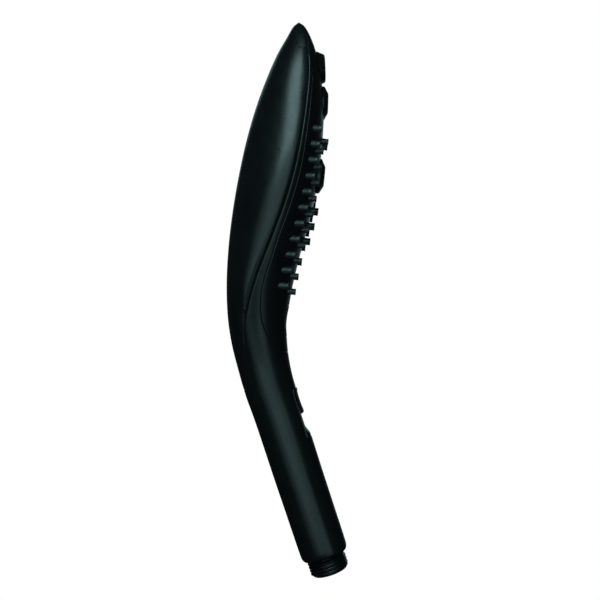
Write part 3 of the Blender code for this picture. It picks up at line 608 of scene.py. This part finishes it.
class Outline:
    """Lines on the surface that a shell's triangles keep to, with each point's depth in millimetres."""

    def __init__(self):
        self.points = []
        self.depths = []
        self.edges = []
        self.borders = []

    def add(self, line, depth, closed, border=False):
        first = sum(len(part) for part in self.points)
        count = len(line)
        self.points.append(np.asarray(line))
        self.depths.append(np.broadcast_to(depth, count).astype(float))
        last = count if closed else count - 1
        self.edges += [(first + i, first + (i + 1) % count) for i in range(last)]
        if border:
            self.borders.append(np.asarray(line))


def inside_line(points, line):
    """Which points lie inside a closed line, by counting crossings."""
    found = np.zeros(len(points), bool)
    ends = np.roll(line, -1, axis=0)
    for (t0, a0), (t1, a1) in zip(line, ends):
        if a0 == a1:
            continue
        crosses = (points[:, 1] < a0) != (points[:, 1] < a1)
        found ^= crosses & (points[:, 0] < (t1 - t0) * (points[:, 1] - a0) / (a1 - a0) + t0)
    return found


def kept(points, borders):
    """Which points are inside the first border and outside the rest."""
    keep = inside_line(points, borders[0])
    for hole in borders[1:]:
        keep &= ~inside_line(points, hole)
    return keep


def grid_points(outline, rows, columns, clear):
    """Grid points inside the outline that are clear of its lines."""
    tree_points = surface(*np.concatenate(outline.points).T)
    tree = kdtree.KDTree(len(tree_points))
    for index, point in enumerate(tree_points):
        tree.insert(point, index)
    tree.balance()
    grid = np.stack(np.meshgrid(rows, columns, indexing="ij"), axis=-1).reshape(-1, 2)
    grid = grid[kept(grid, outline.borders)]
    spots = surface(*grid.T)
    far = [tree.find(spot)[2] > clear for spot in spots]
    return grid[np.array(far, bool)]


def shell_depth(t, depth):
    """A shell's inner face: a wall below the surface, but never inside the handle's bore."""
    if depth != WALL:
        return np.full(len(t), depth)
    room = section(t)[3] - HANDLE_BORE
    return np.maximum(np.minimum(depth, room), THINNEST_WALL)


def triangles(outline, rows, columns, clear, top):
    """The triangles between the outline's lines and a grid, with each point's (t, angle) and its depth."""
    grid = grid_points(outline, rows, columns, clear)
    points = np.concatenate([*outline.points, grid])
    depths = np.concatenate([*outline.depths, np.full(len(grid), top / MM)]) * MM
    flat = [Vector((t / MM, angle * FLAT_SCALE)) for t, angle in points]
    spots, _, faces, originals, _, _ = delaunay_2d_cdt(flat, outline.edges, [], 0, FLAT_SLACK)
    params = np.array([(spot.x * MM, spot.y / FLAT_SCALE) for spot in spots])
    depth_of = np.array([depths[min(old)] if len(old) else top for old in originals])
    for index, old in enumerate(originals):
        if len(old):
            params[index] = points[min(old)]
    faces = np.array(faces)
    return params, depth_of, faces[kept(params[faces].mean(axis=1), outline.borders)]


def joined(faces, outer):
    """The triangles with points that fall together made one, and which point each one left comes from."""
    places = np.round(outer / SAME_POINT)
    _, first, merged = np.unique(places, axis=0, return_index=True, return_inverse=True)
    faces = merged.reshape(-1)[faces]
    a, b, c = faces.T
    used, faces = np.unique(faces[(a != b) & (b != c) & (c != a)], return_inverse=True)
    return faces.reshape(-1, 3), first[used]


def rim_walls(faces, count):
    """The faces from the outer face's open edges to the inner face's, whose points come count later."""
    directed = np.concatenate([faces[:, [0, 1]], faces[:, [1, 2]], faces[:, [2, 0]]])
    known = set(map(tuple, directed))
    rim = [(a, b) for a, b in known if (b, a) not in known]
    return [(b, a, a + count, b + count) for a, b in sorted(rim)]


def build_shell(name, outline, rows, columns, depth=WALL, clear=1.0 * MM, top=0.0):
    """A closed shell inside the outline: its outer face, its inner face and the walls between them."""
    params, depth_of, faces = triangles(outline, rows, columns, clear, top)
    outer = surface(params[:, 0], params[:, 1], depth_of)
    below = np.maximum(shell_depth(params[:, 0], depth), depth_of + ROLLED_WALL)
    inner = surface(params[:, 0], params[:, 1], below)
    normals = surface_normals(params[:, 0], params[:, 1])
    faces, first = joined(faces, outer)
    outer, inner, normals, depth_of = outer[first], inner[first], normals[first], depth_of[first]
    faces = facing_out(faces, outer, normals)
    walls = rim_walls(faces, len(outer))
    backs = faces[:, ::-1] + len(outer)
    mesh = bpy.data.meshes.new(name)
    mesh.from_pydata(np.concatenate([outer, inner]), [], [*faces.tolist(), *backs.tolist(), *walls])
    piece = piece_of(name, mesh, SOFT_ANGLE)
    use_true_normals(mesh, len(faces), normals, depth_of <= top)
    return piece


def surface_normals(t, angle):
    """The body's outward normals."""
    by_t, by_angle = slopes(t, angle)
    normals = np.cross(by_angle, by_t)
    return normals / (np.linalg.norm(normals, axis=1)[:, None] + NO_ZERO)


def facing_out(faces, points, normals):
    """The triangles, each wound so that it faces the same way as the normals."""
    corners = points[faces]
    across = np.cross(corners[:, 1] - corners[:, 0], corners[:, 2] - corners[:, 0])
    backwards = np.einsum("ij,ij->i", across, normals[faces].sum(axis=1)) < 0
    turned_faces = faces.copy()
    turned_faces[backwards] = faces[backwards][:, ::-1]
    return turned_faces


def use_true_normals(mesh, outer_faces, normals, smooth):
    """Shades the outer face by the body's own normals, wherever it isn't rolled in towards an edge."""
    corner_normals = np.zeros((len(mesh.loops), 3))
    corners = outer_faces * 3
    vertices = np.array([loop.vertex_index for loop in mesh.loops[:corners]])
    corner_normals[:corners] = np.where(smooth[vertices][:, None], normals[vertices], 0.0)
    mesh.normals_split_custom_set(corner_normals.tolist())


def piece_of(name, mesh, sharp_degrees=SHARP_ANGLE):
    mesh.validate()
    mesh.shade_smooth()
    mesh.set_sharp_from_angle(angle=math.radians(sharp_degrees))
    obj = bpy.data.objects.new(name, mesh)
    scene.collection.objects.link(obj)
    return obj


def dress(obj, *nodes, body="shower_body", material="satin_black_plastic"):
    """Gives a piece its material and body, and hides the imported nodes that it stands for."""
    obj.data.materials.clear()
    obj.data.materials.append(MATERIALS[material])
    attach(obj, body)
    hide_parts(*nodes)


def mirrored(line):
    """The line on the body's other side, run the other way."""
    return np.stack([line[::-1, 0], -line[::-1, 1]], axis=1)


def panel_seam_rings(outline, shift, roll, side):
    """Adds the panel seam's closed line and the lines beside it."""
    base = seam_line(PANEL_SEAM, shift)
    for number, (distance, depth) in enumerate(roll):
        half = moved_in(base, distance * MM, side) if distance else base.copy()
        half[0, 1] = base[0, 1]
        half[-1, 1] = base[-1, 1]
        ring = np.concatenate([half, mirrored(half)[1:-1]])
        outline.add(ring, depth, closed=True, border=number == 0)


def round_hole(outline, t, y, along, across, sides, clearance_roll):
    """Adds a round or oval hole and the rings round it."""
    turns = np.linspace(0, 2 * math.pi, sides, endpoint=False)
    for number, (distance, depth) in enumerate(clearance_roll):
        ring_t = t + (along + distance * MM) * np.cos(turns)
        ring_y = y + (across + distance * MM) * np.sin(turns)
        ring = np.stack([ring_t, angle_at_y(ring_t, ring_y)], axis=1)
        outline.add(ring, depth, closed=True, border=number == 0)


def nozzle_places():
    """The (t, y) of each nozzle, on both sides of the middle."""
    places = []
    for first_t, first_share, growth, low, high in NOZZLE_COLUMNS:
        for number in range(low, high + 1):
            t = first_t + NOZZLE_PITCH * number
            y = (first_share + growth * number) * float(section(t)[3])
            places += [(t, -y), (t, y)]
    return places


def even_rows(low, high, step):
    return np.linspace(low, high, max(2, round((high - low) / step) + 1))


def face_panel():
    outline = Outline()
    panel_seam_rings(outline, -SEAM_HALF_GAP, PANEL_ROLL, -1)
    for t, y in nozzle_places():
        radius = NOZZLE_RADIUS + NOZZLE_CLEARANCE
        round_hole(outline, t, y, radius, radius, NOZZLE_SIDES, HOLE_ROLL)
    for t, _, _ in OUTLETS.values():
        radius = OUTLET_RADIUS + OUTLET_CLEARANCE
        round_hole(outline, t, 0.0, radius, radius, OUTLET_SIDES, PANEL_ROLL)
    along = BUTTON_HALF_LENGTH + BUTTON_CLEARANCE
    across = BUTTON_HALF_WIDTH + BUTTON_CLEARANCE
    round_hole(outline, HEAD_START, 0.0, along, across, OUTLET_SIDES, PANEL_ROLL)
    low, high, half_angle = PANEL_REACH
    columns = np.linspace(-half_angle, half_angle, 67)
    panel = build_shell("visual_face_panel", outline, even_rows(low, high, PANEL_STEP), columns)
    dress(panel, "face_panel")


def share_at(t, shares):
    """The share at those t, from a table of t in millimetres and shares."""
    places, values = np.array(shares).T
    return np.interp(t, places * MM, values)


def back_cover():
    """The leaf. Its outline is the seam, and above the seam's end its two sides meet in the middle."""
    outline = Outline()
    base = seam_line(COVER_SEAM, SEAM_HALF_GAP)
    top = base[-1, 0]
    reach = share_at(base[:, 0], COVER_ROLL_REACH) * MM
    weld_t = [top + distance * reach[-1] for distance, _ in COVER_ROLL]
    weld_t += list(np.linspace(weld_t[-1] + 0.4 * MM, TIP - TIP_HOLE, 8))
    crown = [(weld_t[-1], turn) for turn in np.linspace(2 * math.pi, 0, 25)[1:-1]]
    for number, (distance, depth) in enumerate(COVER_ROLL):
        half = moved_in(base, distance * reach, 1) if distance else base.copy()
        half[0] = (base[0, 0] + distance * MM, math.pi)
        half[-1] = (weld_t[number], 0.0)
        other = np.stack([half[::-1, 0], 2 * math.pi - half[::-1, 1]], axis=1)
        line = np.concatenate([half[::-1], other[::-1][1:]])
        depth = depth * share_at(line[:, 0], COVER_ROLL_FADE)
        if number == 0:
            left = np.array([(t, 0.0) for t in weld_t[::-1]])[:-1]
            right = np.array([(t, 2 * math.pi) for t in weld_t])[1:]
            border = np.concatenate([line, right, crown, left])
            outline.add(border, 0.0, closed=True, border=True)
            outline.depths[0][: len(line)] = depth
        else:
            outline.add(line, depth, closed=False)
    for index, (_, depth) in enumerate(COVER_ROLL):
        matches = np.abs(outline.points[0][:, 0] - weld_t[index]) < SLACK
        on_weld = np.isin(outline.points[0][:, 1], (0.0, 2 * math.pi))
        outline.depths[0][matches & on_weld] = depth * share_at(weld_t[index], COVER_ROLL_FADE)
    low_rows = even_rows(base[0, 0], TIP - TIP_REACH - 2 * MM, ROW_STEP)
    tip_rows = TIP - TIP_REACH * np.linspace(1.0, 0.2, 13) ** 1.6
    rows = np.concatenate([low_rows, tip_rows])
    columns = np.linspace(0, 2 * math.pi, AROUND)[1:-1]
    cover = build_shell("visual_back_cover", outline, rows, columns, clear=0.9 * MM)
    dress(cover, "back_cover")


def handle_body():
    """The handle, and the bezel that runs up both sides of the face and joins above it."""
    outline = Outline()
    base = seam_line(COVER_SEAM, -SEAM_HALF_GAP)
    low = base[0, 0]
    bottom = BODY[0, 0]
    first = [low - distance * MM for distance, _ in BEZEL_ROLL]
    straight = np.linspace(bottom + 2 * MM, first[-1] - 1.5 * MM, 44)
    weld_t = np.concatenate([[bottom], straight, first[:0:-1]])
    ends = np.linspace(-math.pi, math.pi, AROUND)
    for number, (distance, depth) in enumerate(BEZEL_ROLL):
        half = moved_in(base, distance * MM, -1) if distance else base.copy()
        half[0] = (low - distance * MM, math.pi)
        half[-1] = (base[-1, 0] - distance * MM, 0.0)
        line = np.concatenate([half, mirrored(half)[1:]])
        if number == 0:
            left = np.array([(t, -math.pi) for t in weld_t[::-1]])
            floor = np.array([(bottom, angle) for angle in ends[1:-1]])
            right = np.array([(t, math.pi) for t in weld_t])
            border = np.concatenate([line, left, floor, right])
            outline.add(border, 0.0, closed=True, border=True)
            outline.depths[0][: len(line)] = depth
        else:
            outline.add(line, depth, closed=False)
    for index, (_, depth) in enumerate(BEZEL_ROLL):
        matches = np.abs(outline.points[0][:, 0] - first[index]) < SLACK
        on_weld = np.abs(np.abs(outline.points[0][:, 1]) - math.pi) < SLACK
        outline.depths[0][matches & on_weld] = depth
    panel_seam_rings(outline, SEAM_HALF_GAP, BEZEL_ROLL, 1)
    window(outline)
    rows = np.concatenate([np.array(FOOT_ROWS) * MM, even_rows(15 * MM, 299 * MM, ROW_STEP)])
    columns = ends[1:-1]
    handle = build_shell("visual_handle_body", outline, rows, columns, clear=0.7 * MM)
    dress(handle, "handle_body")


def window(outline):
    """The slider's window in the front of the handle: a rectangle with small round corners."""
    corner = 0.9 * MM
    low = TRACK_BOTTOM - TRACK_CLEARANCE
    high = SLIDER_TOP + TRACK_CLEARANCE
    side = TRACK_HALF_WIDTH + TRACK_CLEARANCE
    for number, (distance, depth) in enumerate(BEZEL_ROLL):
        grow = distance * MM
        ring = []
        for centre_t, centre_y, start in (
            (high - corner, side - corner, 0.0),
            (low + corner, side - corner, 0.5 * math.pi),
            (low + corner, -side + corner, math.pi),
            (high - corner, -side + corner, 1.5 * math.pi),
        ):
            for turn in np.linspace(start, start + 0.5 * math.pi, 7):
                t = centre_t + (corner + grow) * math.cos(turn)
                y = centre_y + (corner + grow) * math.sin(turn)
                ring.append((t, y))
        ring = np.array(ring)
        closed = np.concatenate([ring, ring[:1]])
        fine = []
        for (t0, y0), (t1, y1) in zip(closed, closed[1:]):
            parts = max(1, round(math.hypot(t1 - t0, y1 - y0) / (1.2 * MM)))
            for part in range(parts):
                u = part / parts
                fine.append((t0 + (t1 - t0) * u, y0 + (y1 - y0) * u))
        fine = np.array(fine)
        line = np.stack([fine[:, 0], angle_at_y(fine[:, 0], fine[:, 1])], axis=1)
        outline.add(line, depth, closed=True, border=number == 0)


# Turned pieces and the rest


def add_rings(mesh_data, rings, closed=False):
    """Joins rings of points one after another, and caps the ends unless the last ring meets the first."""
    made = [[mesh_data.verts.new(point) for point in ring] for ring in rings]
    pairs = list(zip(made, made[1:]))
    if closed:
        pairs.append((made[-1], made[0]))
    for below, above in pairs:
        for i in range(len(below)):
            j = (i + 1) % len(below)
            mesh_data.faces.new((below[i], below[j], above[j], above[i]))
    if not closed:
        mesh_data.faces.new(made[0][::-1])
        mesh_data.faces.new(made[-1])


def circle(radius, height, sides):
    steps = [2 * math.pi * i / sides for i in range(sides)]
    return [Vector((radius * math.cos(a), radius * math.sin(a), height)) for a in steps]


def finished(name, mesh_data, matrix=None, sharp_degrees=SHARP_ANGLE):
    """A piece from a bmesh, moved by a matrix."""
    bmesh.ops.remove_doubles(mesh_data, verts=mesh_data.verts, dist=SAME_POINT / 10)
    bmesh.ops.recalc_face_normals(mesh_data, faces=mesh_data.faces)
    if matrix:
        mesh_data.transform(matrix)
    mesh = bpy.data.meshes.new(name)
    mesh_data.to_mesh(mesh)
    mesh_data.free()
    return piece_of(name, mesh, sharp_degrees)


def rounded(profile, radius):
    """The profile with each corner rounded by a radius, or by less where its sides are short."""
    steps = 4
    points = [Vector(point) for point in profile]
    result = []
    for i, point in enumerate(points):
        before = points[i - 1] - point
        after = points[(i + 1) % len(points)] - point
        reach = min(radius, before.length * 0.45, after.length * 0.45)
        start = point + before.normalized() * reach
        end = point + after.normalized() * reach
        for step in range(steps + 1):
            u = step / steps
            result.append(start * (1 - u) ** 2 + point * 2 * u * (1 - u) + end * u**2)
    return result


def turned(name, profile, sides, matrix, radius=0.3 * MM):
    mesh_data = bmesh.new()
    add_rings(mesh_data, [circle(r, z, sides) for r, z in rounded(profile, radius)], closed=True)
    return finished(name, mesh_data, matrix)


def cut_away(obj, cutter_data, name):
    """Cuts a bmesh's solids out of a piece, for good."""
    cutter = finished(name, cutter_data)
    cutter.data.transform(obj.matrix_world)
    modifier = obj.modifiers.new("cut", "BOOLEAN")
    modifier.object = cutter
    bpy.context.view_layer.update()
    evaluated = obj.evaluated_get(bpy.context.evaluated_depsgraph_get())
    mesh = bpy.data.meshes.new_from_object(evaluated)
    obj.modifiers.clear()
    obj.data = mesh
    mesh.shade_smooth()
    mesh.set_sharp_from_angle(angle=math.radians(SHARP_ANGLE))
    bpy.data.objects.remove(cutter)


def outlet_matrix(name):
    t, _, lean = OUTLETS[name]
    point = place(t, face_n(t, 0.0), 0.0)
    return Matrix.Translation(Vector(point)) @ Matrix.Rotation(OUT_OF_FACE - lean, 4, "Y")


def outlet(name):
    """A big outlet: a cup with a rounded shoulder, a dished middle and a ring of jets in its top."""
    _, height, _ = OUTLETS[name]
    flat = name == "upper"
    crown = 0.15 * MM if flat else 0.9 * MM
    shoulder = OUTLET_RADIUS - (1.9 * MM if flat else 2.5 * MM)
    straight = height - (4.2 * MM if flat else 2.2 * MM)
    bore = OUTLET_RADIUS - OUTLET_WALL
    profile = [
        (OUTLET_RADIUS, OUTLET_FOOT),
        (OUTLET_RADIUS, straight),
        (shoulder, height - crown),
        (OUTLET_DISH, height),
        (3.6 * MM, height - 0.35 * MM),
        (OUTLET_HOLE, height - 0.4 * MM),
        (OUTLET_HOLE, height - 1.5 * MM),
        (bore - 1.0 * MM, height - 2.2 * MM),
        (bore, height - 3.4 * MM),
        (bore, OUTLET_FOOT),
    ]
    piece = turned(f"visual_{name}_outlet", profile, OUTLET_SIDES, outlet_matrix(name), 0.7 * MM)
    jets = bmesh.new()
    for number in range(JET_COUNT):
        a = 2 * math.pi * (number + 0.5) / JET_COUNT
        middle = Vector((JET_RING * math.cos(a), JET_RING * math.sin(a), 0))
        ends = (height - 3.5 * MM, height + MM)
        add_rings(jets, [[middle + point for point in circle(JET_RADIUS, z, 12)] for z in ends])
    jets.transform(outlet_matrix(name))
    cut_away(piece, jets, "jets")
    dress(piece, f"{name}_outlet")


def nozzle_rings():
    """One nozzle, standing on Z = 0: a slightly tapered stud with a bead at the tip and a bore."""
    top = NOZZLE_HEIGHT
    profile = [
        (NOZZLE_RADIUS, -3.5 * MM),
        (NOZZLE_RADIUS, 0.2 * MM),
        (NOZZLE_RADIUS - 0.10 * MM, top * 0.5),
        (NOZZLE_RADIUS - 0.16 * MM, top - 0.75 * MM),
        (NOZZLE_RADIUS - 0.02 * MM, top - 0.55 * MM),
        (NOZZLE_RADIUS + 0.02 * MM, top - 0.30 * MM),
        (NOZZLE_RADIUS - 0.14 * MM, top - 0.05 * MM),
        (NOZZLE_RADIUS - 0.45 * MM, top),
        (0.72 * MM, top - 0.02 * MM),
        (0.56 * MM, top - 0.16 * MM),
        (0.50 * MM, top - 2.2 * MM),
    ]
    return [circle(radius, height, NOZZLE_SIDES) for radius, height in profile]


def nozzle_mat():
    """The silicone mat behind the panel, with a nozzle through each of the panel's small holes."""
    low, high, half_angle = MAT_REACH
    outline = Outline()
    corners = [(low, -half_angle), (high, -half_angle), (high, half_angle), (low, half_angle)]
    pairs = zip(corners, [*corners[1:], corners[0]])
    sides = [evenly(np.array(pair), MAT_STEP)[:-1] for pair in pairs]
    outline.add(np.concatenate(sides), MAT_DEPTH[0] / MM, closed=True, border=True)
    for name in ("middle", "lower"):
        radius = OUTLET_RADIUS + GAP
        round_hole(outline, OUTLETS[name][0], 0.0, radius, radius, 48, [(0.0, MAT_DEPTH[0] / MM)])
    columns = np.linspace(-half_angle, half_angle, 41)[1:-1]
    rows = even_rows(low, high, MAT_STEP)[1:-1]
    mat = build_shell("visual_nozzle_mat", outline, rows, columns, MAT_DEPTH[1], top=MAT_DEPTH[0])
    mesh_data = bmesh.new()
    mesh_data.from_mesh(mat.data)
    stud = nozzle_rings()
    turn = Matrix.Rotation(OUT_OF_FACE, 4, "Y")
    for t, y in nozzle_places():
        matrix = Matrix.Translation(Vector(place(t, face_n(t, y), y))) @ turn
        add_rings(mesh_data, [[matrix @ point for point in ring] for ring in stud])
    mesh_data.to_mesh(mat.data)
    mesh_data.free()
    mat.data.shade_smooth()
    mat.data.set_sharp_from_angle(angle=math.radians(SOFT_ANGLE))
    dress(mat, "nozzle_mat", material="black_silicone")


def select_button():
    """A flush oval cap that follows the face, dished for a fingertip, with a small plain ring on it."""
    rings = []
    turns = np.linspace(0, 2 * math.pi, OUTLET_SIDES, endpoint=False)
    dish_shares = np.linspace(0.04, 0.5, 10)
    ring_shares = np.linspace(0.52, 0.64, 9)
    rim_shares = np.linspace(0.68, 0.96, 9)
    for share in [*dish_shares, *ring_shares, *rim_shares, 0.975, 0.988, 0.996, 1.0]:
        t = HEAD_START + BUTTON_HALF_LENGTH * share * np.cos(turns)
        y = BUTTON_HALF_WIDTH * share * np.sin(turns)
        dish = 0.35 * MM * max(0.0, 1 - (share / 0.9) ** 2) ** 1.5
        groove = 0.12 * MM * math.exp(-(((share - 0.58) / 0.028) ** 2))
        edge = 0.35 * MM * max(0.0, (share - 0.965) / 0.035) ** 2
        depth = dish + groove + edge
        points = place(t, face_n(t, y) - depth, y)
        rings.append([Vector(point) for point in points])
    t = HEAD_START + BUTTON_HALF_LENGTH * np.cos(turns)
    y = BUTTON_HALF_WIDTH * np.sin(turns)
    rings.append([Vector(point) for point in place(t, np.full(OUTLET_SIDES, BUTTON_BACK), y)])
    mesh_data = bmesh.new()
    add_rings(mesh_data, rings)
    stem_ends = (BUTTON_STEM_LOW, BUTTON_BACK + 0.2 * MM)
    stem = [circle(BUTTON_STEM_RADIUS, z, 32) for z in stem_ends]
    turn = Matrix.Rotation(OUT_OF_FACE, 4, "Y")
    matrix = Matrix.Translation(Vector(place(HEAD_START, 0.0, 0.0))) @ turn
    add_rings(mesh_data, [[matrix @ point for point in ring] for ring in stem])
    button = finished("visual_select_button", mesh_data)
    dress(button, "select_button", body="button")


def slider_knob():
    """The slider's knob: a piece of the handle's round, with a thumb dish between two lips."""
    heights = np.linspace(0, SLIDER_TOP - SLIDER_BOTTOM, 69)
    along, radii = np.array(KNOB_PROFILE).T
    base = TRACK_FLOOR + GAP
    half_angle = math.asin(SLIDER_HALF_WIDTH / KNOB_RADIUS)
    angles = np.linspace(-half_angle, half_angle, 41)
    rings = []
    curve = np.interp(heights / MM, along, radii)
    for _ in range(3):
        curve[1:-1] = 0.25 * curve[:-2] + 0.5 * curve[1:-1] + 0.25 * curve[2:]
    for height, radius in zip(heights, curve):
        z = SLIDER_BOTTOM + height
        edge = 0.22 * MM * (np.abs(angles) / half_angle) ** 14
        reach = radius * MM - edge
        top = [Vector((r * math.cos(a), r * math.sin(a), z)) for r, a in zip(reach, angles)]
        side = top[-1][1]
        rings.append([*top, Vector((base, side, z)), Vector((base, -side, z))])
    mesh_data = bmesh.new()
    add_rings(mesh_data, rings)
    knob = finished("visual_slider_knob", mesh_data, sharp_degrees=SOFT_ANGLE)
    soften(knob, 0.18 * MM)
    dress(knob, "slider_knob", body="flow_slider")


def soften(obj, width):
    """Rounds a piece's sharp edges."""
    modifier = obj.modifiers.new("soften", "BEVEL")
    modifier.width = width
    modifier.segments = 3
    modifier.limit_method = "ANGLE"
    modifier.angle_limit = math.radians(40)
    modifier.harden_normals = True


def eased(share):
    """The share, kept from 0 to 1, with a soft start and a soft end."""
    share = min(max(share, 0.0), 1.0)
    return share * share * (3 - 2 * share)


def slider_track():
    """The flat floor under the knob, which rises to the handle's round at its lower end."""
    ramp_start = SLIDER_BOTTOM - SLIDER_TRAVEL - SLOT_CLEARANCE
    ramp_end = TRACK_BOTTOM + 0.3 * MM
    across = np.linspace(-TRACK_HALF_WIDTH, TRACK_HALF_WIDTH, 37)
    rings = []
    for z in even_rows(TRACK_BOTTOM, SLIDER_TOP, 0.4 * MM):
        rise = eased((ramp_start - z) / (ramp_start - ramp_end))
        floor = TRACK_FLOOR + (RAMP_TOP - TRACK_FLOOR) * rise
        top = [Vector((min(floor, math.sqrt(TRACK_ROUND**2 - y * y)), y, z)) for y in across]
        bottom = [Vector((TRACK_BACK, y, z)) for y in (TRACK_HALF_WIDTH, -TRACK_HALF_WIDTH)]
        rings.append([*top, *bottom])
    mesh_data = bmesh.new()
    add_rings(mesh_data, rings)
    track = finished("visual_slider_track", mesh_data, sharp_degrees=40)
    slot = bmesh.new()
    low = STEM_BOTTOM - SLIDER_TRAVEL - SLOT_CLEARANCE
    high = STEM_TOP + SLOT_CLEARANCE
    half = STEM_HALF_WIDTH + GAP
    corners = [(8 * MM, -half), (14 * MM, -half), (14 * MM, half), (8 * MM, half)]
    add_rings(slot, [[Vector((x, y, z)) for x, y in corners] for z in (low, high)])
    cut_away(track, slot, "slot")
    dress(track, "slider_track")


def thread_ring(z, sides):
    """Points round the thread at that height. The ridge fades out at the top, and the end is chamfered."""
    ring = []
    fade = min(1.0, max(0.0, (THREAD_LENGTH - z) / THREAD_FADE))
    for i in range(sides):
        phase = (z / THREAD_PITCH - i / sides) % 1.0
        ridge = eased(1.32 - 2.9 * abs(phase - 0.5))
        radius = THREAD_ROOT + (THREAD_RADIUS - THREAD_ROOT) * ridge * fade
        radius = min(radius, THREAD_RADIUS - THREAD_CHAMFER + z)
        a = 2 * math.pi * i / sides
        ring.append(Vector((radius * math.cos(a), radius * math.sin(a), z)))
    return ring


def threaded_inlet():
    """The half-inch thread, as a true helix, and the stem inside the handle with its two seal grooves."""
    sides = 96
    levels = 14
    rings = [circle(INLET_BORE, 0.35 * MM, sides), circle(INLET_BORE + 0.35 * MM, 0.0, sides)]
    rings.append(circle(THREAD_RADIUS - THREAD_CHAMFER - 0.1 * MM, 0.0, sides))
    for level in range(1, int(THREAD_LENGTH / THREAD_PITCH * levels) + 1):
        rings.append(thread_ring(level * THREAD_PITCH / levels, sides))
    stem = [(STEM_RADIUS, THREAD_LENGTH + 0.2 * MM)]
    for low in GROOVES:
        high = low + GROOVE_WIDTH
        stem += [(STEM_RADIUS, low), (GROOVE_RADIUS, low), (GROOVE_RADIUS, high), (STEM_RADIUS, high)]
    stem += [(STEM_RADIUS, STEM_END), (INLET_BORE, STEM_END)]
    rings += [circle(radius, z, sides) for radius, z in stem]
    mesh_data = bmesh.new()
    add_rings(mesh_data, rings, closed=True)
    inlet = finished("visual_threaded_inlet", mesh_data, sharp_degrees=45)
    dress(inlet, "threaded_inlet")


make_lights(make_camera())
make_world()
make_floor()
finish_cad_nodes()
handle_body()
back_cover()
face_panel()
nozzle_mat()
for outlet_name in OUTLETS:
    outlet(outlet_name)
select_button()
slider_knob()
slider_track()
threaded_inlet()
scene.view_settings.view_transform = "Standard"
